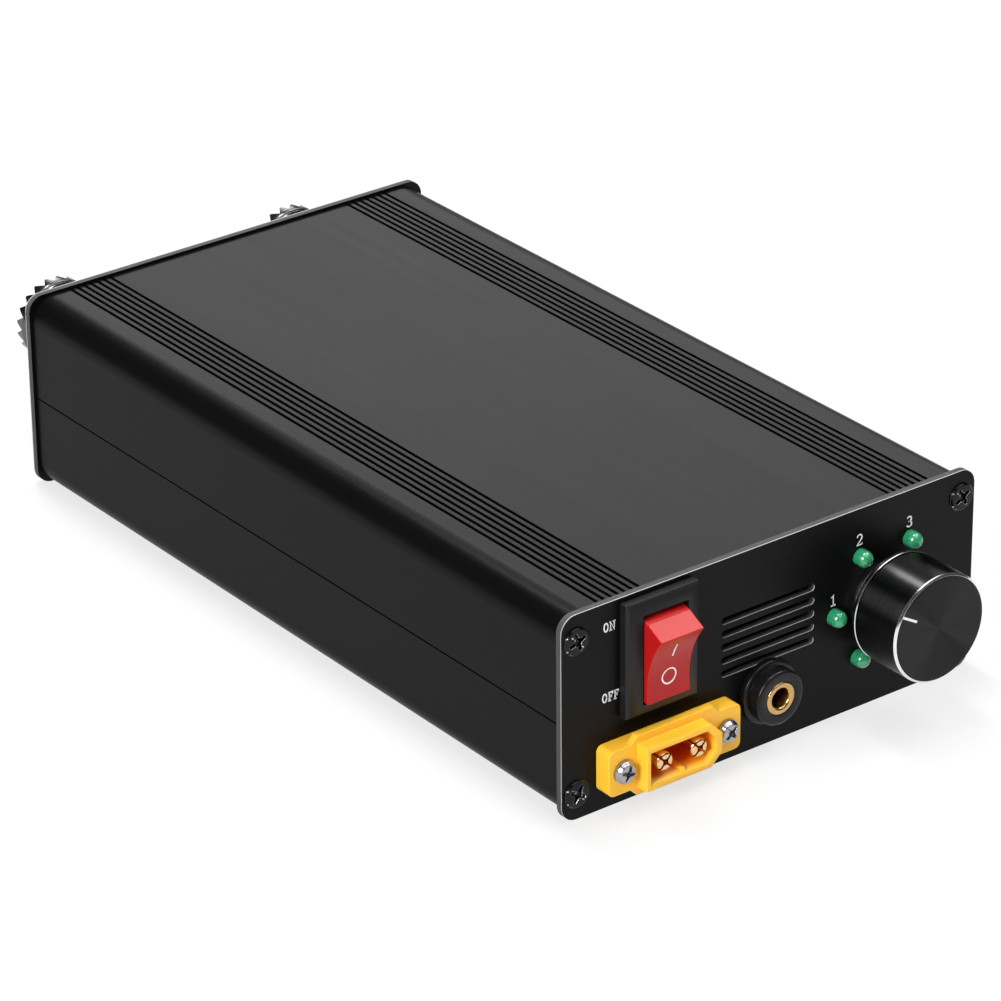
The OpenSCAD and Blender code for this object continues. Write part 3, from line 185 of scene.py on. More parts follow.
def on_lamp_ring(angle):
    """The x and z of a lamp at an angle around the knob."""
    axis = middle("selector_washer")
    turn = math.radians(angle)
    return axis.x + LAMP_RING * MM * math.cos(turn), axis.z + LAMP_RING * MM * math.sin(turn)


# ---------------------------------------------------------------- shader maths

# The sockets of a Mix node that mixes colours: its mask, its two colours, and what it gives.
MIX_MASK, MIX_FIRST, MIX_SECOND, MIX_RESULT = 0, 6, 7, 2


class Socket:
    """A shader socket that can stand in an arithmetic expression."""

    def __init__(self, graph, socket):
        self.graph = graph
        self.socket = socket

    def _node(self, operation, *values):
        """A Math node, or for a vector a Vector Math node that takes a number for each component."""
        kind = "ShaderNodeMath"
        if self.socket.type == "VECTOR":
            kind = "ShaderNodeVectorMath"
            values = [(v, v, v) if isinstance(v, (int, float)) else v for v in values]
        return self.graph.add(kind, {"operation": operation}, dict(enumerate(values)))

    def __add__(self, other):
        return self._node("ADD", self, other)

    def __radd__(self, other):
        return self._node("ADD", other, self)

    def __sub__(self, other):
        return self._node("SUBTRACT", self, other)

    def __rsub__(self, other):
        return self._node("SUBTRACT", other, self)

    def __mul__(self, other):
        return self._node("MULTIPLY", self, other)

    def __rmul__(self, other):
        return self._node("MULTIPLY", other, self)

    def __gt__(self, other):
        return self._node("GREATER_THAN", self, other)

    def __lt__(self, other):
        return self._node("LESS_THAN", self, other)

    def __abs__(self):
        return self._node("ABSOLUTE", self)

    def clamp(self):
        """The value held between 0 and 1."""
        return self.graph.add("ShaderNodeClamp", {}, {"Value": self})

    def part(self, axis):
        """One component of a vector: X, Y or Z."""
        return self.graph.add("ShaderNodeSeparateXYZ", {}, {0: self}, out=axis)


class Finish:
    """A material made of nodes, with one method that adds any node."""

    def __init__(self, name, **fixed):
        self.material = bpy.data.materials.new(name)
        self.material.use_nodes = True
        self.tree = self.material.node_tree
        self.tree.nodes.clear()
        self.out = self.tree.nodes.new("ShaderNodeOutputMaterial")
        self.shader = self.tree.nodes.new("ShaderNodeBsdfPrincipled")
        self.tree.links.new(self.shader.outputs[0], self.out.inputs[0])
        self.set(**fixed)

    def add(self, kind, settings=None, inputs=None, out=0):
        """Adds a node: its settings first, then the values or links of its sockets."""
        node = self.tree.nodes.new(kind)
        for key, value in (settings or {}).items():
            setattr(node, key, value)
        for key, value in (inputs or {}).items():
            self.feed(node.inputs[key], value)
        return Socket(self, node.outputs[out])

    def feed(self, target, value):
        """Links an input to a socket, or gives it a value."""
        if isinstance(value, Socket):
            self.tree.links.new(value.socket, target)
        else:
            target.default_value = value

    def set(self, **inputs):
        """Feeds inputs of the shader, whose names have _ for a space here, and gives the material."""
        for key, value in inputs.items():
            self.feed(self.shader.inputs[key.replace("_", " ")], value)
        return self.material

    def place(self):
        """Coordinates in the object's own frame, in metres."""
        return self.add("ShaderNodeTexCoord", out="Object")

    def grain(self, scale, detail=3.0, stretch=(1, 1, 1)):
        """Noise between 0 and 1, scale in cells per metre, stretched along the axes."""
        where = self.add("ShaderNodeMapping", {}, {"Vector": self.place(), "Scale": stretch})
        return self.add("ShaderNodeTexNoise", {}, {"Vector": where, "Scale": scale, "Detail": detail})

    def blend(self, mask, first, second):
        """A colour that goes from first to second with the mask."""
        first, second = (c if isinstance(c, Socket) else (*c, 1.0) for c in (first, second))
        return self.add("ShaderNodeMix", {"data_type": "RGBA"},
                        {MIX_MASK: mask, MIX_FIRST: first, MIX_SECOND: second}, out=MIX_RESULT)

    def tones(self, mask, base, low, high):
        """One colour that goes from a darker to a lighter tone with the mask."""
        return self.blend(mask, shade(base, low), shade(base, high))

    def relief(self, height, strength, depth):
        """The normal of a surface with relief, depth in millimetres."""
        return self.add("ShaderNodeBump", {},
                        {"Height": height, "Strength": strength, "Distance": depth * MM})


def shade(base, factor):
    """A colour made lighter or darker, worked out in Python."""
    return tuple(min(1.0, v * factor) for v in base)


# ---------------------------------------------------------------- finishes

# Metals: the colour's name, and how rough the metal is.
METALS = {
    "socket_metal": ("socket_metal", 0.20),
    "contact_gold": ("gold", 0.20),
    "bush_brass": ("brass", 0.26),
    "nickel_plate": ("nickel", 0.24),
    "copper_wire": ("copper", 0.30),
}

# Plain finishes of inner parts: colour, and how rough.
INNER = {
    "ferrite": ((0.05, 0.05, 0.055), 0.6),
    "powder_red": ((0.42, 0.03, 0.02), 0.4),
    "relay_blue": ((0.03, 0.09, 0.30), 0.35),
    "film_amber": ((0.50, 0.28, 0.05), 0.35),
    "sleeve_navy": ((0.02, 0.02, 0.08), 0.35),
    "pad_grey": ((0.62, 0.62, 0.58), 0.7),
    "insulator_white": ((0.80, 0.77, 0.68), 0.4),
    "wire_red": ((0.45, 0.015, 0.015), 0.45),
    "wire_black": ((0.015, 0.015, 0.015), 0.45),
    "epoxy_black": ((0.018, 0.018, 0.02), 0.5),
}


@functools.cache
def finish(name):
    """A finish by its name, built once."""
    if name in METALS:
        key, roughness = METALS[name]
        return metal(name, getattr(colours(), key), roughness)
    if name in INNER:
        return plain(name, *INNER[name])
    return MAKERS[name]()


def metal(name, base, roughness, spread=0.10, scale=1800, stretch=(1, 1, 1)):
    """Bare or plated metal with fine marks."""
    f = Finish(name, Metallic=1.0)
    mark = f.grain(scale, 4.0, stretch)
    return f.set(Base_Color=f.tones(mark, base, 0.82, 1.1),
                 Roughness=mark * spread + (roughness - spread / 2),
                 Normal=f.relief(mark, 0.08, 0.03))


def plain(name, base, roughness, scale=700, strength=0.1, **fixed):
    """Any plain finish: two close tones, uneven gloss and a little relief."""
    f = Finish(name, **fixed)
    spread = 0.16
    mark = f.grain(scale)
    return f.set(Base_Color=f.tones(mark, base, 0.8, 1.2),
                 Roughness=mark * spread + (roughness - spread / 2),
                 Normal=f.relief(mark, strength, 0.04))


def anodised_case():
    """Black anodised extrusion: fine draw lines along the case and a satin sheen."""
    f = Finish("anodised_case", IOR=1.155)
    draw = f.grain(900, 2.0, (1.0, 0.012, 1.0))
    cloud = f.grain(38)
    return f.set(Base_Color=f.tones(cloud * 0.6 + draw * 0.4, colours().anodised, 0.82, 1.2),
                 Roughness=draw * 0.06 + cloud * 0.02 + 0.29,
                 Normal=f.relief(draw, 0.10, 0.04))


def panel_lacquer():
    """Black lacquered laminate. Its cut edges show the bare board, with a painted highlight along their
    corners.
    """
    f = Finish("panel_lacquer", IOR=1.20)
    face = abs(f.add("ShaderNodeNewGeometry", out="Normal").part("Y")) > 0.5
    front, back = face_y("front_panel"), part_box("rear_panel")[1].y
    highlight_width = 0.2 * MM
    from_middle = abs(f.place().part("Y") - (front + back) / 2)
    # Painted highlight: a thin strip along each corner of the cut edges is painted six times paler, where the
    # corners catch the light.
    corner = from_middle > (back - front) / 2 - highlight_width
    fibre = f.grain(2600, 2.0, (0.2, 1.0, 0.2))
    edge = f.blend(corner, f.tones(fibre, colours().laminate, 0.7, 1.3), shade(colours().laminate, 6.0))
    cloud = f.grain(60, 4.0)
    return f.set(Base_Color=f.blend(face, edge, f.tones(cloud, colours().lacquer, 0.85, 1.2)),
                 Roughness=(1 - face) * 0.25 + 0.33 + cloud * 0.08,
                 Normal=f.relief(f.grain(700, 2.0), 0.05, 0.03))


def black_screw():
    """Black zinc: dark metal whose crests are worn bright. The bright crests also stand in for painted glints
    on the rim and the cross's edges.
    """
    f = Finish("black_screw", Metallic=1.0)
    wear = f.grain(1500, 4.0)
    # Worn bare metal on the crests, which also serves as a painted glint along the rim and the edges of the
    # cross.
    crest = ((f.add("ShaderNodeNewGeometry", out="Pointiness") - 0.53) * 22.0).clamp()
    zinc = f.blend(wear, (0.016, 0.016, 0.017), (0.030, 0.030, 0.032))
    return f.set(Base_Color=f.blend(crest, zinc, colours().worn_edge_and_glint),
                 Roughness=wear * 0.12 + 0.16,
                 Normal=f.relief(wear, 0.12, 0.03))


def moulded_black():
    """Matt moulded plastic of the switch frame."""
    f = Finish("moulded_black", IOR=1.34)
    spark = f.grain(4200, 2.0)
    return f.set(Base_Color=f.tones(f.grain(90), colours().switch_black, 0.8, 1.3),
                 Roughness=spark * 0.16 + 0.36,
                 Normal=f.relief(spark, 0.22, 0.03))


def ring_black():
    """Hard black plastic of the jack's ring."""
    return plain("ring_black", (0.0042, 0.0042, 0.0046), 0.30, scale=900, strength=0.03, IOR=1.34)


def rocker_red():
    """Gloss red plastic."""
    f = Finish("rocker_red", IOR=1.34)
    return f.set(Base_Color=f.tones(f.grain(60, 2.0), colours().rocker_red, 0.94, 1.06),
                 Roughness=f.grain(700, 2.0) * 0.06 + 0.27)


def inlet_yellow():
    """Yellow nylon with faint flow marks. Inside the cavity it turns a redder orange with depth: painted
    shade and painted glow of light through the nylon.
    """
    f = Finish("inlet_yellow", IOR=1.42)
    half_width, half_height = 6.62 * MM, 3.02 * MM
    rim, painted_shade_reach = 0.5 * MM, 3.2 * MM
    centre = middle("inlet_pins")
    place = f.place()
    across = abs(place.part("X") - centre.x) < half_width
    up = abs(place.part("Z") - centre.z) < half_height
    # Painted shade and glow: deeper in the cavity the nylon is painted a redder orange, in place of its shade
    # and the light through its walls.
    depth = ((place.part("Y") - (face_y("inlet_housing") + rim)) * (1 / painted_shade_reach)).clamp()
    outside = f.tones(f.grain(160, 4.0, (1.0, 1.0, 3.0)), colours().inlet_yellow, 0.94, 1.04)
    return f.set(Base_Color=f.blend(across * up * depth, outside, colours().cavity),
                 Roughness=f.grain(2400, 2.0) * 0.10 + 0.34,
                 Normal=f.relief(f.grain(1500), 0.05, 0.02))


def bare_aluminium():
    """Milled aluminium, marked along the case."""
    return metal("bare_aluminium", (0.62, 0.63, 0.65), 0.34, scale=700, stretch=(1, 0.05, 1))


def knob_skin():
    """Black anodised turned metal, brushed around its axis."""
    f = Finish("knob_skin", Metallic=1.0, Anisotropic=0.93, Anisotropic_Rotation=0.25)
    brush = f.grain(5200, 2.0, (0.02, 0.02, 1.0))
    return f.set(Base_Color=f.tones(brush, colours().knob_black, 0.75, 1.35),
                 Roughness=brush * 0.08 + f.grain(140) * 0.03 + 0.29,
                 Normal=f.relief(brush, 0.06, 0.03))


def knob_face():
    """The spun face of the knob: fine rings around the middle."""
    f = Finish("knob_face", Metallic=1.0, Anisotropic=0.95, Anisotropic_Rotation=0.25)
    flat = f.place() * (1.0, 1.0, 0.0)
    radius = f.add("ShaderNodeVectorMath", {"operation": "LENGTH"}, {0: flat}, out="Value")
    rings = f.add("ShaderNodeTexNoise", {"noise_dimensions": "1D"}, {"W": radius, "Scale": 7000})
    return f.set(Base_Color=f.tones(rings, colours().knob_black, 0.85, 1.3),
                 Roughness=rings * 0.08 + 0.38,
                 Normal=f.relief(rings, 0.06, 0.02))


def cut_metal():
    """Bright bare metal of the knob's bevels and pointer."""
    return metal("cut_metal", colours().knob_bright, 0.16, spread=0.08)


def lamp_epoxy():
    """Green tinted epoxy that lets a little light through."""
    f = Finish("lamp_epoxy", IOR=1.55, Coat_Weight=0.8, Coat_Roughness=0.04, Transmission_Weight=0.25)
    cloud = f.grain(900)
    return f.set(Base_Color=f.tones(cloud, colours().lamp_green, 0.7, 1.35),
                 Roughness=cloud * 0.1 + 0.10)


def lamp_cup():
    """The pale reflector inside a lamp."""
    f = Finish("lamp_cup", Roughness=0.35)
    return f.set(Base_Color=f.blend(f.grain(2200, 2.0), (0.10, 0.52, 0.28), (0.22, 0.75, 0.45)))


def white_ink():
    """Screen print: slightly uneven white."""
    f = Finish("white_ink")
    return f.set(Base_Color=f.tones(f.grain(2600), colours().ink, 0.86, 1.06))


def board_mask():
    """Circuit board: green mask over tracks."""
    f = Finish("board_mask", IOR=1.5)
    cells = f.add("ShaderNodeTexVoronoi", {"feature": "DISTANCE_TO_EDGE"},
                  {"Vector": f.place(), "Scale": 252.0})
    tracks = cells < 0.06
    return f.set(Base_Color=f.tones(tracks, colours().board_green, 1.0, 1.9),
                 Roughness=tracks * 0.1 + 0.32,
                 Normal=f.relief(tracks, 0.15, 0.03))


MAKERS = {maker.__name__: maker for maker in (
    anodised_case, panel_lacquer, black_screw, moulded_black, ring_black, rocker_red, inlet_yellow,
    bare_aluminium, knob_skin, knob_face, cut_metal, lamp_epoxy, lamp_cup, white_ink, board_mask)}


# ---------------------------------------------------------------- mesh helpers

def dress(look, *nodes):
    """Gives CAD nodes that stay in view a finish."""
    for node in nodes:
        materials = NODES[node].data.materials
        materials.clear()
        materials.append(finish(look))


def mesh_of(bm, name):
    """Ends a bmesh, its faces looking outwards."""
    bmesh.ops.recalc_face_normals(bm, faces=bm.faces)
    mesh = bpy.data.meshes.new(name)
    bm.to_mesh(mesh)
    bm.free()
    return mesh


def piece(name, bm, looks, body, slot, *nodes, place=None, angle=35):
    """A finished piece on its body, standing for the nodes that it replaces. looks is a name or several."""
    mesh = mesh_of(bm, name)
    obj = bpy.data.objects.new(name, mesh)
    bpy.context.scene.collection.objects.link(obj)
    for look in [looks] if isinstance(looks, str) else looks:
        mesh.materials.append(finish(look))
    for face in mesh.polygons:
        face.use_smooth = True
    mesh.set_sharp_from_angle(angle=math.radians(angle))
    if place is not None:
        obj.matrix_world = place
    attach(obj, body)
    if nodes:
        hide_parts(*nodes)
    return obj


def softened(name, node, look, body, slot, width, segments=3, back=math.inf):
    """A moulded piece: the node's own form with its edges rounded over, up to where y reaches back."""
    bm = bmesh.new()
    bm.from_mesh(NODES[node].data)
    same_place, flat, sharp = 0.002 * MM, math.radians(1), math.radians(28)
    bmesh.ops.remove_doubles(bm, verts=bm.verts, dist=same_place)
    bmesh.ops.dissolve_limit(bm, angle_limit=flat, verts=bm.verts, edges=bm.edges)
    weight = bm.edges.layers.float.new("bevel_weight_edge")
    for edge in bm.edges:
        if edge.calc_face_angle(0.0) > sharp and max(v.co.y for v in edge.verts) < back:
            edge[weight] = 1.0
    bevel = piece(name, bm, look, body, slot, node, angle=40).modifiers.new("rounding", "BEVEL")
    bevel.width = width
    bevel.segments = segments
    bevel.limit_method = "WEIGHT"
    bevel.harden_normals = True


def in_metres(points):
    """A profile or outline that is given in millimetres."""
    return [(u * MM, v * MM) for u, v in points]


def arc(x, y, rx, ry, first, last, steps=10):
    """Points along part of an ellipse, between two angles in degrees."""
    angles = [math.radians(first + (last - first) * i / steps) for i in range(steps + 1)]
    return [(x + rx * math.cos(a), y + ry * math.sin(a)) for a in angles]


def skin(bm, rings, closed=False, marks=None):
    """Joins each ring of corners to the next, and when closed the last to the first.

    A ring of one corner gives a fan. marks holds each strip's material number.
    """
    strips = list(zip(rings, rings[1:]))
    if closed:
        strips.append((rings[-1], rings[0]))
    for number, (one, two) in enumerate(strips):
        count = max(len(one), len(two))
        for k in range(count):
            n = (k + 1) % count
            if len(one) == 1:
                corners = (one[0], two[k], two[n])
            elif len(two) == 1:
                corners = (one[k], two[0], one[n])
            else:
                corners = (one[k], two[k], two[n], one[n])
            bm.faces.new(corners).material_index = marks[number] if marks else 0


def solid(bm, rings):
    """Joins rings of corners and closes both ends."""
    skin(bm, rings)
    bm.faces.new(rings[0])
    bm.faces.new(rings[-1])


def turned(bm, profile, segments, place=Matrix(), shape=None, closed=False, marks=None):
    """Turns a profile of (radius, height) about Z. shape(i, angle, radius, height) moves a point."""
    rings = []
    for i, (radius, height) in enumerate(profile):
        ring = []
        for k in range(segments if radius else 1):
            angle = 2 * math.pi * k / segments
            r, h = shape(i, angle, radius, height) if shape else (radius, height)
            ring.append(bm.verts.new(place @ Vector((r * math.cos(angle), r * math.sin(angle), h))))
        rings.append(ring)
    skin(bm, rings, closed, marks)


def smooth_step(low, high, value):
    """Goes from 0 at low to 1 at high with soft ends."""
    t = max(0.0, min(1.0, (value - low) / (high - low)))
    return t * t * (3 - 2 * t)


def cross_recess(u, v, long, wide):
    """How deep a screwdriver's cross goes at a point, from 0 to 1. Its wings narrow outwards."""
    root_width, taper = 1.25, 0.45
    side_slope, end_slope = 0.62, 0.84
    core_edge, core_floor = 0.95, 0.6
    r = math.hypot(u, v)
    half = wide / 2 * (root_width - taper * min(1.0, 2 * r / long))

    def wing(along, across):
        return (smooth_step(half, half * side_slope, abs(across))
                * smooth_step(long / 2, long / 2 * end_slope, abs(along)))

    core = smooth_step(wide * core_edge, wide * core_floor, r)
    return max(wing(u, v), wing(v, u), core)


def screw_head(bm, place, radius, height, cross, depth, edge, turn):
    """A cross-recessed head: its rim stands on the plate and its top is gently domed."""
    rows, columns = 46, 144
    domed, rim = 0.22, 0.35
    rings = []
    for i in range(rows + 1):
        r = radius * i / rows
        fall = smooth_step(radius - edge, radius, r)
        top = height * (1 - domed * (r / radius) ** 2) * (1 - fall) + height * rim * fall
        ring = []
        for k in range(columns if i else 1):
            a = 2 * math.pi * k / columns
            h = top - depth * cross_recess(r * math.cos(a + turn), r * math.sin(a + turn), *cross)
            ring.append(bm.verts.new(place @ Vector((r * math.cos(a), r * math.sin(a), h))))
        rings.append(ring)
    foot = arc(0, 0, radius, radius, 0, 360, columns)[:-1]
    rings.append([bm.verts.new(place @ Vector((u, v, 0))) for u, v in foot])
    skin(bm, rings)


# ---------------------------------------------------------------- print

# Strokes of each printed sign in a box 1 high that starts at x = 0, after the sign's width.
STROKES = {
    "1": (0.56, [[(0.10, 0.80), (0.28, 1.0), (0.28, 0.0)],
                 [(0.06, 0.0), (0.50, 0.0)]]),
    "2": (0.62, [arc(0.30, 0.72, 0.27, 0.28, 165, -35) + [(0.04, 0.0), (0.58, 0.0)],
                 [(0.58, 0.0), (0.58, 0.10)]]),
    "3": (0.60, [arc(0.28, 0.745, 0.24, 0.255, 150, -90) + arc(0.28, 0.255, 0.28, 0.255, 90, -150)]),
    "O": (0.66, [arc(0.31, 0.5, 0.27, 0.5, 0, 360, 24)]),
    "N": (0.78, [[(0.12, 0.0), (0.12, 1.0), (0.60, 0.0), (0.60, 1.0)],
                 [(0.0, 0.0), (0.26, 0.0)],
                 [(0.0, 1.0), (0.12, 1.0)],
                 [(0.48, 1.0), (0.72, 1.0)]]),
    "F": (0.62, [[(0.14, 0.0), (0.14, 1.0)],
                 [(0.02, 1.0), (0.56, 1.0), (0.56, 0.82)],
                 [(0.14, 0.52), (0.40, 0.52)],
                 [(0.40, 0.40), (0.40, 0.64)],
                 [(0.02, 0.0), (0.30, 0.0)]]),
}


def inked_line(bm, points, width, thick):
    """A flat stroke of ink through points in the plane, mitred at its bends and a little longer."""
    overrun = 0.35 * width
    sharpest = 0.55
    rings = []
    for i, point in enumerate(points):
        before = (point - points[i - 1]).normalized() if i else None
        after = (points[i + 1] - point).normalized() if i + 1 < len(points) else None
        along = ((before or after) + (after or before)).normalized()
        side = Vector((-along.y, along.x)) * (width / 2 / max(sharpest, along.dot(after or before)))
        if before is None:
            point = point - along * overrun
        if after is None:
            point = point + along * overrun
        corners = ((point + side, 0), (point - side, 0), (point - side, thick), (point + side, thick))
        rings.append([bm.verts.new((*corner, height)) for corner, height in corners])
    solid(bm, rings)


def label(name, text, height, x, z):
    """A printed figure or word on the control panel, centred on x and z."""
    gap = 0.16
    bm = bmesh.new()
    start = -(sum(STROKES[sign][0] for sign in text) + gap * (len(text) - 1)) / 2
    for sign in text:
        width, strokes = STROKES[sign]
        for points in strokes:
            placed = [Vector(((start + u) * height, (v - 0.5) * height)) for u, v in points]
            inked_line(bm, placed, sizes().stroke_width, sizes().print_height)
        start += width + gap
    bmesh.ops.transform(bm, matrix=outward(x, face_y("front_panel"), z), verts=bm.verts)
    piece(name, bm, "white_ink", "case", "panel_laminate", angle=20)


# ---------------------------------------------------------------- the pieces

class AMP_OT_case(bpy.types.Operator):
    """Finishes the two shells and the two end panels"""
    bl_idname = "amp.case"
    bl_label = "Case and panels"

    def execute(self, context):
        dress("anodised_case", "upper_shell", "lower_shell")
        dress("panel_lacquer", "front_panel", "rear_panel")
        return {"FINISHED"}


class AMP_OT_case_screws(bpy.types.Operator):
    """Builds the cross-head screws in the corners of both panels"""
    bl_idname = "amp.case_screws"
    bl_label = "Case screws"

    def execute(self, context):
        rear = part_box("rear_panel")[1].y
        self.screws("front_corner_screws", "front_panel_screws", face_y("front_panel"), False)
        self.screws("rear_corner_screws", "rear_panel_screws", rear, True)
        return {"FINISHED"}

    def screws(self, name, node, face, back):
        """Four screws on a panel's face, each one's cross turned in its own way."""
        s = sizes()
        radius = s.case_screw_radius
        depth, edge = 0.75 * MM, 0.3 * MM
        low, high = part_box(node)
        columns = (low.x + radius, high.x - radius)
        corners = [(x, z) for x in columns for z in (low.z + radius, high.z - radius)]
        bm = bmesh.new()
        for number, (x, z) in enumerate(corners):
            screw_head(bm, outward(x, face, z, back), radius, s.case_screw_height,
                       (s.cross_length, s.cross_width), depth, edge, 0.5 + 0.7 * number)
        piece(name, bm, "black_screw", "case", "black_screws", node, angle=50)


class AMP_OT_switch(bpy.types.Operator):
    """Builds the rocker switch: frame, rocker and its two printed marks"""
    bl_idname = "amp.switch"
    bl_label = "Rocker switch"

    def execute(self, context):
        softened("switch_frame", "switch_housing", "moulded_black", "case", "black_plastic", 0.18 * MM, 2)
        softened("rocker_paddle", "rocker", "rocker_red", "rocker", "red_plastic", sizes().soft_edge)
        dress("bush_brass", "switch_terminals")
        self.marks()
        return {"FINISHED"}

    def on_face(self, x, v):
        """A point just over the rocker's hollow face, x across it and v up it, in millimetres."""
        lift = 0.012
        bend = (ROCKER_UP ** 2 + ROCKER_DISH ** 2) / (2 * ROCKER_DISH)
        lean = math.asin(v / bend)
        out = ROCKER_OUT - ROCKER_DISH + bend - (bend - lift) * math.cos(lean)
        pivot = next(j["pos_m"] for j in frame["joints"] if j["child"] == "rocker")
        turn = Matrix.Rotation(math.radians(ROCKER_LEAN), 3, "X")
        return Vector(pivot) + turn @ Vector((x, -out, v - lift * math.sin(lean))) * MM

    def marks(self):
        """The line and the ring, laid on the rocker's hollow face."""
        half_width, foot, top = 0.15, 1.3, 4.2
        outer, inner, centre = 1.53, 1.26, -2.75
        steps, corners = 8, 56
        line = [[(side, foot + (top - foot) * i / steps) for side in (-half_width, half_width)]
                for i in range(steps + 1)]
        circles = (arc(0, centre, r, r, 0, 360, corners)[:-1] for r in (outer, inner))
        bm = bmesh.new()
        for pairs, closed in ((line, False), (zip(*circles), True)):
            rows = [[bm.verts.new(self.on_face(x, v)) for x, v in pair] for pair in pairs]
            if closed:
                rows.append(rows[0])
            for one, two in zip(rows, rows[1:]):
                bm.faces.new((one[0], one[1], two[1], two[0]))
        piece("rocker_marks", bm, "white_ink", "rocker", "red_plastic")


class AMP_OT_inlet(bpy.types.Operator):
    """Builds the power inlet: yellow body, split gold pins and two small screws"""
    bl_idname = "amp.inlet"
    bl_label = "Power inlet"

    def execute(self, context):
        softened("inlet_body", "inlet_housing", "inlet_yellow", "case", "yellow_plastic",
                 0.26 * MM, back=face_y("front_panel") - 0.05 * MM)
        self.rib()
        self.pins()
        self.screws()
        dress("nickel_plate", "inlet_nuts")
        return {"FINISHED"}

    def rib(self):
        """The low rib on the cavity's floor between the two pins, sloped at its near end."""
        half, tall = 0.55 * MM, 0.7 * MM
        section = [(-half, 0), (-half, tall * 0.75), (-half * 0.6, tall),
                   (half * 0.6, tall), (half, tall * 0.75), (half, 0)]
        pins, mouth = middle("inlet_pins"), face_y("inlet_housing")
        floor = pins.z - 2.97 * MM
        bm = bmesh.new()
        rings = []
        for depth, part in ((0.35, 0.35), (0.85, 1.0), (8.0, 1.0)):
            y = mouth + depth * MM
            rings.append([bm.verts.new((pins.x + u, y, floor + v * part)) for u, v in section])
        solid(bm, rings)
        piece("inlet_rib", bm, "inlet_yellow", "case", "yellow_plastic")

    def pins(self):
        """Each pin is four spring petals around a cross slot, on one stem with a solder cup."""
        low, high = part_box("inlet_pins")
        end = (low.y - high.y) / MM
        core, hollow = PIN_RADIUS - 0.25, 1.4
        stem = [(0, -4.9), (PIN_RADIUS, -4.9), (PIN_RADIUS, -7.6), (core, -7.75), (core, -15.2),
                (CUP_RADIUS, -15.3), (CUP_RADIUS, end), (hollow, end), (hollow, -16.3), (0, -16.3)]
        bm = bmesh.new()
        for x in (low.x + CUP_RADIUS * MM, high.x - CUP_RADIUS * MM):
            place = outward(x, low.y, middle("inlet_pins").z)
            for quarter in range(4):
                self.petal(bm, place @ Matrix.Rotation(math.radians(45 + 90 * quarter), 4, "Z"))
            turned(bm, in_metres(stem), 48, place)
        piece("inlet_contact_pins", bm, "contact_gold", "case", "gold", "inlet_pins", angle=40)

    def petal(self, bm, place):
        """A quarter of a pin's end, clear of its neighbours by the slot and rounded at its tip."""
        gap, hollow, broken_edge = 0.19, 0.62, 0.995
        core = 0.62 * hollow
        rings = []
        for height, part in ((-5.0, 1.0), (-0.9, 1.0), (-0.55, 0.985), (-0.28, 0.93), (-0.1, 0.84),
                             (-0.02, 0.74), (0.0, 0.66)):
            r = PIN_RADIUS * part
            first = math.asin(gap / r)
            shoulder = r * broken_edge * math.cos(first)
            outside = arc(0, 0, r, r, math.degrees(first), 90 - math.degrees(first), 12)[1:-1]
            section = [(hollow, gap), (shoulder, gap), *outside, (gap, shoulder), (gap, hollow), (core, core)]
            rings.append([bm.verts.new(place @ Vector((u, v, height * MM))) for u, v in in_metres(section)])
        skin(bm, rings)
        bm.faces.new(rings[-1])

    def screws(self):
        """Two pan-head screws with their shanks."""
        radius, height, shank = 2.1 * MM, 1.5 * MM, 1.2 * MM
        cross, depth, edge = (2.75 * MM, 0.68 * MM), 0.95 * MM, 0.62 * MM
        low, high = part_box("inlet_screws")
        seat = low.y + height
        bm = bmesh.new()
        for number, x in enumerate((low.x + radius, high.x - radius)):
            place = outward(x, seat, middle("inlet_screws").z)
            screw_head(bm, place, radius, height, cross, depth, edge, 0.35 + 0.5 * number)
            turned(bm, [(shank, 0), (shank, seat - high.y), (0, seat - high.y)], 32, place)
        piece("inlet_pan_screws", bm, "nickel_plate", "case", "nickel", "inlet_screws", angle=50)


class AMP_OT_jack(bpy.types.Operator):
    """Builds the control jack: black ring nut and brass bush"""
    bl_idname = "amp.jack"
    bl_label = "Control jack"

    def execute(self, context):
        panel, centre = face_y("front_panel"), middle("jack_ring_nut")
        place = outward(centre.x, panel, centre.z)
        top = (panel - face_y("jack_ring_nut")) / MM
        ring = [(2.98, 0), (5.6, 0), (5.75, 0.15), (5.75, 1.2), (5.65, 1.4), (5.4, 1.5), (4.95, 1.56),
                (4.92, 1.7), (4.95, top - 0.55), (4.86, top - 0.2), (4.62, top - 0.03), (4.4, top),
                (3.2, top), (3.0, top - 0.1), (2.98, top - 0.4)]
        bm = bmesh.new()
        turned(bm, in_metres(ring), 96, place)
        piece("jack_ring", bm, "ring_black", "case", "black_plastic", "jack_ring_nut", angle=50)
        top = (panel - face_y("jack_bush")) / MM
        bush = [(1.8, -1.3), (1.8, top - 0.42), (1.88, top - 0.2), (2.08, top - 0.04), (2.3, top),
                (2.72, top), (2.88, top - 0.08), (2.95, top - 0.25), (2.95, -1.3)]
        bm = bmesh.new()
        turned(bm, in_metres(bush), 96, place, closed=True)
        piece("jack_ferrule", bm, "bush_brass", "case", "brass", "jack_bush", angle=50)
        dress("epoxy_black", "jack_body")
        dress("nickel_plate", "jack_contacts")
        return {"FINISHED"}


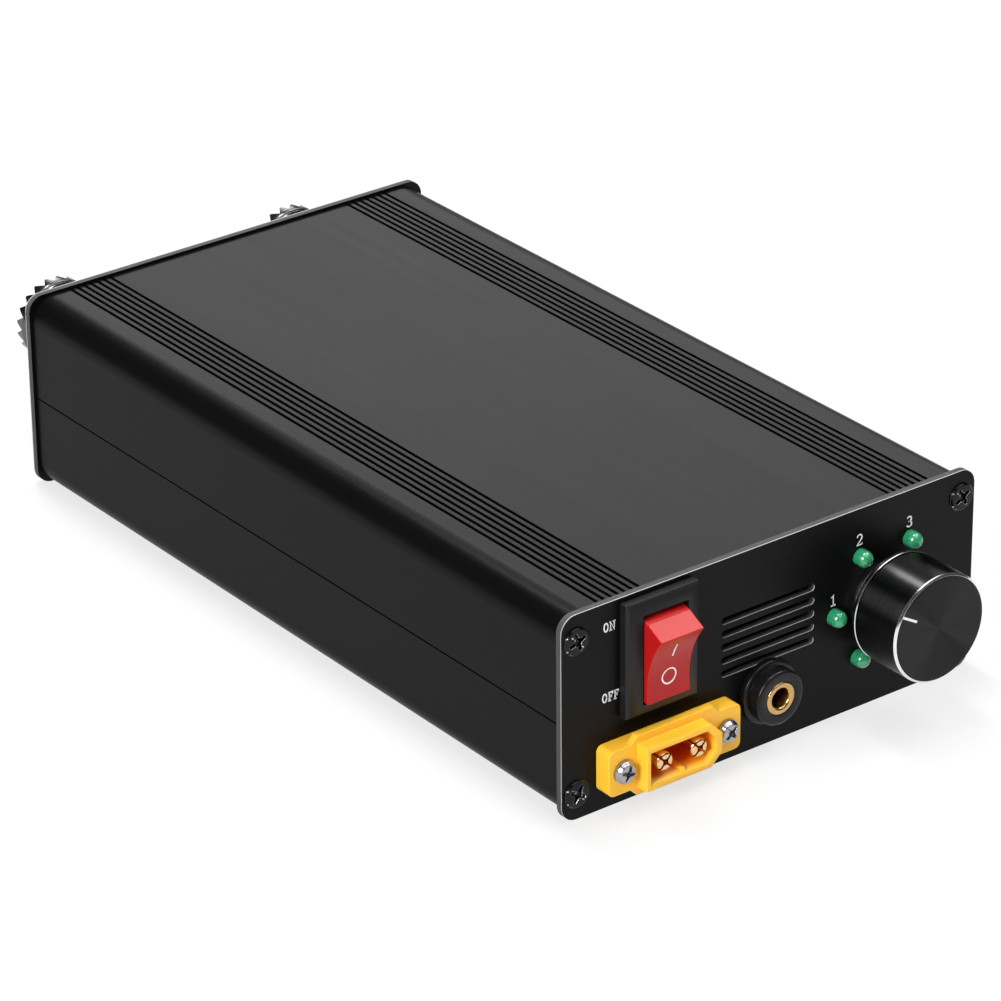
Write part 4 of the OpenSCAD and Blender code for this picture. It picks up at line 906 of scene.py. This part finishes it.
class AMP_OT_knob(bpy.types.Operator):
    """Builds the band knob: spun face, bright bevels, pointer line and brushed side"""
    bl_idname = "amp.knob"
    bl_label = "Band knob"

    def execute(self, context):
        low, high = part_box("band_knob")
        centre, radius = middle("band_knob"), (high.x - low.x) / 2
        profile = self.profile(radius / MM, (high.y - low.y) / MM)
        bm = bmesh.new()
        turned(bm, in_metres((r, h) for r, h, _ in profile), 160, marks=[mark for _, _, mark in profile])
        piece("selector_knob_turned", bm, KNOB_LOOKS, "selector_knob", "spun_aluminium", "band_knob",
              place=outward(centre.x, high.y, centre.z), angle=30)
        self.pointer(outward(centre.x, low.y, centre.z), radius)
        dress("black_screw", "knob_set_screw")
        dress("nickel_plate", "selector_shaft", "selector_washer", "selector_nut")
        dress("epoxy_black", "selector_body")
        dress("bush_brass", "selector_contacts")
        return {"FINISHED"}

    def profile(self, r, box_height):
        """Radius and height of each corner in millimetres, with the finish of the strip that follows it."""
        tall = box_height - 0.03
        bevel = sizes().knob_bevel / MM
        bore, floor = 3.03, tall - 2
        rim, dish, steps = r - bevel - 0.05, 0.12, 10
        foot = [(0, floor, SKIN), (bore, floor, SKIN), (bore, 3, SKIN), (6.2, 3, SKIN), (6.2, 0, SKIN),
                (r - 0.3, 0, CUT), (r - 0.02, 0.22, SKIN)]
        groove = [(r, 0.3, SKIN), (r, 0.82, SKIN), (r - 0.02, 0.85, CUT), (r - 0.13, 0.96, SKIN),
                  (r - 0.45, 1.02, SKIN), (r - 0.45, 1.5, SKIN), (r - 0.10, 1.52, SKIN),
                  (r - 0.02, 1.6, SKIN)]
        side = [(r, 1.7, SKIN), (r, tall - bevel - 0.03, SKIN), (r - 0.02, tall - bevel, CUT),
                (r - bevel, tall - 0.02, CUT)]
        face = [(rim * (1 - i / steps), tall - dish * math.sin(math.pi / 2 * i / steps), FACE)
                for i in range(steps + 1)]
        return foot + groove + side + face

    def pointer(self, place, radius):
        """The line cut into the face, from its rim inwards."""
        s = sizes()
        half, tip = s.pointer_width / 2, radius - s.pointer_length
        rim, edge = radius - s.knob_bevel * 0.1, radius - s.knob_bevel - 0.02 * MM
        depth = 0.016 * MM
        rim_depth = s.knob_bevel * 0.88 + depth
        outline = [(rim, -half, rim_depth), (rim, half, rim_depth), (edge, half, depth)]
        outline += [(u, v, depth) for u, v in arc(tip, 0, half, half, 90, 270, 12)]
        outline += [(edge, -half, depth)]
        turn = Matrix.Rotation(math.radians(POINTER_ANGLE), 4, "Z")
        bm = bmesh.new()
        line = [bm.verts.new(place @ turn @ Vector((u, v, -h))) for u, v, h in outline]
        bm.faces.new((line[0], line[1], line[2], line[-1]))
        bm.faces.new(line[2:])
        piece("knob_pointer", bm, "cut_metal", "selector_knob", "spun_aluminium")


class AMP_OT_lamps(bpy.types.Operator):
    """Builds the four green lamps around the knob"""
    bl_idname = "amp.lamps"
    bl_label = "Lamps"

    def execute(self, context):
        self.lamps("band_lamp_domes", "band_lamps", BAND_ANGLES.values())
        self.lamps("receive_lamp_dome", "receive_lamp", [RECEIVE_ANGLE])
        dress("board_mask", "indicator_board")
        return {"FINISHED"}

    def lamps(self, name, node, angles):
        """Lamps with their legs, and the pale cup in each of them."""
        panel = face_y("front_panel")
        end = (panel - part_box("band_lamps")[1].y) / MM
        dome = [(0, -2.3), (1.8, -2.3), (1.8, -1.3), (LAMP_RADIUS, -1.3)]
        dome += arc(0, 1.1, LAMP_RADIUS, LAMP_RADIUS, 0, 90, 12)[:-1] + [(0, 1.1 + LAMP_RADIUS)]
        cup = [(0, -0.2), (0.55, 0.1), (0.95, 0.75), (0.8, 0.8), (0.4, 0.35), (0, 0.3)]
        leg = [(0.25, -2.1), (0.25, end), (0, end)]
        leg_distance = 1.27 * MM
        bm = bmesh.new()
        cups = bmesh.new()
        looks = ("lamp_epoxy", "nickel_plate")
        leg_marks = [looks.index("nickel_plate")] * len(leg)
        for angle in angles:
            x, z = on_lamp_ring(angle)
            place = outward(x, panel, z)
            turned(bm, in_metres(dome), 48, place)
            turned(cups, in_metres(cup), 24, place)
            for side in (-leg_distance, leg_distance):
                turned(bm, in_metres(leg), 12, place @ Matrix.Translation((0, side, 0)), marks=leg_marks)
        piece(name, bm, looks, "case", "green_lamp", node, angle=50)
        piece(name + "_cups", cups, "lamp_cup", "case", "green_lamp", angle=50)


class AMP_OT_sockets(bpy.types.Operator):
    """Builds the two threaded aerial sockets with their notched rims"""
    bl_idname = "amp.sockets"
    bl_label = "Aerial sockets"

    def execute(self, context):
        self.socket("input_socket", "input_threaded_socket")
        self.socket("output_socket", "output_threaded_socket")
        self.contacts()
        dress("insulator_white", "socket_insulators")
        dress("nickel_plate", "socket_nuts")
        return {"FINISHED"}

    def socket(self, node, name):
        """A socket's shell: flange, thread, and the notched crown at its mouth."""
        s = sizes()
        low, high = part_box(node)
        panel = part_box("rear_panel")[1].y
        end, mouth, wide = (low.y - panel) / MM, (high.y - panel) / MM, (high.x - low.x) / 2 / MM
        r, bore, steps_per_turn = SOCKET_RADIUS, SOCKET_BORE, 9
        neck = mouth - s.notch_depth / MM - 0.25
        bottom, top = 3.1, neck - 0.25
        rows = int((top - bottom) / (s.thread_pitch / MM / steps_per_turn))
        flange = [(bore, end), (r, end), (r, 0), (wide - 0.2, 0), (wide, 0.2), (wide, 2.2),
                  (wide - 0.3, 2.5), (7.3, 2.5), (7.3, 3.0)]
        thread = [(r, bottom + (top - bottom) * i / rows) for i in range(rows + 1)]
        collar = [(7.5, neck - 0.2), (r - 0.12, neck - 0.1), (r, neck)]
        crown = [(r, mouth - 0.12), (r - 0.12, mouth), (bore + 0.12, mouth), (bore, mouth - 0.12)]
        crest, root, run_out_rows, land = 0.12, 0.88, 6, 0.1
        first, last = len(flange), len(flange) + rows
        notched = range(last + 1 + len(collar), last + 1 + len(collar + crown))

        def cut(i, angle, radius, height):
            """Sinks the thread into its rows, where it runs out at both ends, and notches the crown."""
            turn = angle / (2 * math.pi)
            if first <= i <= last:
                wave = abs((height / s.thread_pitch + turn) % 1.0 - 0.5) * 2
                run_out = min(1.0, (i - first) / run_out_rows, (last - i) / run_out_rows)
                return radius - s.thread_depth * smooth_step(crest, root, wave) * run_out, height
            if i in notched:
                tooth = abs(turn * s.notch_count % 1.0 - 0.5) * 2
                return radius, height - s.notch_depth * max(0.0, (tooth - land) / (1 - land))
            return radius, height

        bm = bmesh.new()
        profile = flange + thread + collar + crown + [(bore, neck - 0.1)]
        place = outward(middle(node).x, panel, middle(node).z, True)
        turned(bm, in_metres(profile), 180, place, cut, closed=True)
        piece(name, bm, "socket_metal", "case", "nickel", node)

    def contacts(self):
        """Each centre contact is a tube slit four ways, on one stem."""
        low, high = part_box("socket_contacts")
        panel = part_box("rear_panel")[1].y
        mouth, end = (high.y - panel) / MM, (low.y - panel) / MM
        r, bore, wire = CONTACT_RADIUS, CONTACT_BORE, 1.6
        stem = [(0, mouth - 12), (bore, mouth - 12), (bore, mouth - 6.9), (r, mouth - 6.9), (r, -5.0),
                (wire, -5.0), (wire, end), (0, end)]
        bm = bmesh.new()
        for x in (low.x + r * MM, high.x - r * MM):
            place = outward(x, panel, middle("socket_contacts").z, True)
            for quarter in range(4):
                self.leaf(bm, place @ Matrix.Rotation(math.radians(90 * quarter), 4, "Z"), mouth)
            turned(bm, in_metres(stem), 48, place)
        piece("split_contacts", bm, "contact_gold", "case", "gold", "socket_contacts", angle=40)

    def leaf(self, bm, place, mouth):
        """A quarter of a contact's tube, rounded over at its mouth."""
        slit, bore_slit = math.degrees(0.10), math.degrees(0.13)
        steps = 12
        rings = []
        for height, rounding in ((-7, 0), (-0.25, 0), (-0.05, 0.08), (0, 0.22)):
            r, bore = CONTACT_RADIUS - rounding, CONTACT_BORE + 0.6 * rounding
            section = arc(0, 0, r, r, slit, 90 - slit, steps)
            section += arc(0, 0, bore, bore, 90 - bore_slit, bore_slit, steps)
            z = (mouth + height) * MM
            rings.append([bm.verts.new(place @ Vector((u, v, z))) for u, v in in_metres(section)])
        skin(bm, rings)
        tip = rings[-1]
        for i in range(steps):
            bm.faces.new((tip[i], tip[i + 1], tip[-i - 2], tip[-i - 1]))


class AMP_OT_print(bpy.types.Operator):
    """Prints the band figures and the switch words on the control panel"""
    bl_idname = "amp.print"
    bl_label = "Panel print"

    def execute(self, context):
        s = sizes()
        for band, up in (("1", 3.1), ("2", 3.2), ("3", 3.1)):
            x, z = on_lamp_ring(BAND_ANGLES[band])
            label("band_figure_" + band, band, s.figure_height, x - 0.2 * MM, z + up * MM)
        switch, edge = middle("switch_housing"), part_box("switch_housing")[0].x
        for word, beside, up in (("ON", 2.07, 6.92), ("OFF", 1.88, -5.87)):
            label("word_" + word.lower(), word, s.word_height, edge - beside * MM, switch.z + up * MM)
        return {"FINISHED"}


class AMP_OT_inside(bpy.types.Operator):
    """Finishes the boards and parts inside the case"""
    bl_idname = "amp.inside"
    bl_label = "Inner parts"

    def execute(self, context):
        dress("board_mask", "amplifier_board", "filter_board")
        dress("bare_aluminium", "heat_spreader")
        dress("pad_grey", "transistor_pads")
        dress("epoxy_black", "output_transistors")
        dress("nickel_plate", "transistor_screws")
        dress("ferrite", "input_transformer", "output_transformer")
        dress("powder_red", "filter_coil_cores")
        dress("relay_blue", "band_relays")
        dress("film_amber", "filter_capacitors")
        dress("sleeve_navy", "electrolytic_capacitors")
        dress("wire_red", "power_lead_positive")
        dress("wire_black", "power_lead_negative", "signal_leads")
        dress("copper_wire", "transformer_windings", "filter_coil_windings", "power_choke")
        return {"FINISHED"}


class AMP_OT_stage(bpy.types.Operator):
    """Sets the pale floor, the soft lights and the camera"""
    bl_idname = "amp.stage"
    bl_label = "Stage"

    def execute(self, context):
        self.floor(context.scene)
        self.world(context.scene)
        self.lights(context.scene)
        self.camera(context.scene)
        context.scene.view_settings.view_transform = "Standard"
        return {"FINISHED"}

    def floor(self, scene):
        """A pale floor that looks almost white, but throws little light back on the object."""
        bm = bmesh.new()
        bmesh.ops.create_grid(bm, x_segments=8, y_segments=8, size=6.0)
        obj = bpy.data.objects.new("floor", mesh_of(bm, "floor"))
        scene.collection.objects.link(obj)
        f = Finish("pale_floor", Roughness=0.9, Specular_IOR_Level=0.1)
        f.set(Base_Color=f.blend(f.grain(3, 2.0), (0.60, 0.60, 0.60), (0.63, 0.63, 0.63)))
        seen = f.add("ShaderNodeLightPath", out="Is Camera Ray")
        for ray in ("Is Glossy Ray", "Is Transmission Ray"):
            seen = seen + f.add("ShaderNodeLightPath", out=ray)
        white = f.add("ShaderNodeEmission", {}, {"Color": (1, 1, 1, 1), "Strength": 1.0})
        surface = Socket(f, f.shader.outputs[0])
        mixed = f.add("ShaderNodeMixShader", {}, {0: seen.clamp() * 0.72, 1: surface, 2: white})
        f.feed(f.out.inputs[0], mixed)
        obj.data.materials.append(f.material)

    def world(self, scene):
        """A faint even light from all round."""
        world = bpy.data.worlds.new("studio")
        world.use_nodes = True
        back = world.node_tree.nodes["Background"]
        back.inputs["Color"].default_value = (1, 1, 1, 1)
        back.inputs["Strength"].default_value = 0.06
        scene.world = world

    def lights(self, scene):
        """Soft boxes that look at the object: name, place, watts, width and height in metres."""
        aim = Vector((0, 0, 0.02))
        for name, place, power, wide, tall in (
                ("overhead_box", (0.25, -0.30, 1.45), 17.0, 1.7, 1.7),
                ("strip_box", (0.05, 0.35, 1.15), 15.0, 0.20, 0.9),
                ("facet_box", (0.72, -0.14, 1.12), 3.5, 0.35, 0.35),
                ("back_box", (0.85, 1.05, 0.66), 4.6, 0.9, 0.4),
                ("left_box", (-1.28, -0.50, 0.74), 22.0, 0.5, 0.8)):
            light = bpy.data.lights.new(name, "AREA")
            light.shape = "RECTANGLE"
            light.size = wide
            light.size_y = tall
            light.energy = power
            obj = bpy.data.objects.new(name, light)
            obj.location = place
            obj.rotation_euler = (aim - Vector(place)).to_track_quat("-Z", "Y").to_euler()
            scene.collection.objects.link(obj)

    def camera(self, scene):
        """The view that was solved from the case's edges."""
        yaw, pitch, roll = (math.radians(turn) for turn in CAMERA_TURNS)
        back = Vector((math.sin(yaw) * math.cos(pitch), -math.cos(yaw) * math.cos(pitch), math.sin(pitch)))
        level = Vector((math.cos(yaw), math.sin(yaw), 0))
        upright = back.cross(level)
        right = level * math.cos(roll) + upright * math.sin(roll)
        up = upright * math.cos(roll) - level * math.sin(roll)
        data = bpy.data.cameras.new("photo_view")
        data.sensor_width = 36.0
        data.lens = CAMERA_LENS
        data.clip_start = 0.05
        data.clip_end = 30.0
        obj = bpy.data.objects.new("photo_view", data)
        place = Vector(CAMERA_PLACE) * MM + Vector((0, face_y("front_panel"), 0))
        obj.matrix_world = Matrix.Translation(place) @ Matrix((right, up, back)).transposed().to_4x4()
        scene.collection.objects.link(obj)
        scene.camera = obj


OPERATORS = (AMP_OT_stage, AMP_OT_case, AMP_OT_case_screws, AMP_OT_switch, AMP_OT_inlet, AMP_OT_jack,
             AMP_OT_knob, AMP_OT_lamps, AMP_OT_sockets, AMP_OT_print, AMP_OT_inside)


class AMP_PT_pieces(bpy.types.Panel):
    """Lists the operators and the sizes and colours that they read"""
    bl_idname = "AMP_PT_pieces"
    bl_label = "Bench amplifier"
    bl_space_type = "VIEW_3D"
    bl_region_type = "UI"
    bl_category = "Amplifier"

    def draw(self, context):
        for operator in OPERATORS:
            self.layout.operator(operator.bl_idname)
        for group in (context.scene.amp_sizes, context.scene.amp_colours):
            box = self.layout.box()
            for key in group.bl_rna.properties.keys():
                if key not in ("rna_type", "name"):
                    box.prop(group, key)


CLASSES = (AmpSizes, AmpColours, *OPERATORS, AMP_PT_pieces)


def register():
    for c in CLASSES:
        bpy.utils.register_class(c)
    bpy.types.Scene.amp_sizes = PointerProperty(type=AmpSizes)
    bpy.types.Scene.amp_colours = PointerProperty(type=AmpColours)


def unregister():
    del bpy.types.Scene.amp_colours
    del bpy.types.Scene.amp_sizes
    for c in reversed(CLASSES):
        bpy.utils.unregister_class(c)


def main():
    register()
    bpy.ops.amp.stage()
    bpy.ops.amp.case()
    bpy.ops.amp.case_screws()
    bpy.ops.amp.switch()
    bpy.ops.amp.inlet()
    bpy.ops.amp.jack()
    bpy.ops.amp.knob()
    bpy.ops.amp.lamps()
    bpy.ops.amp.sockets()
    bpy.ops.amp.print()
    bpy.ops.amp.inside()
    bpy.context.view_layer.update()


if __name__ == "__main__":
    main()
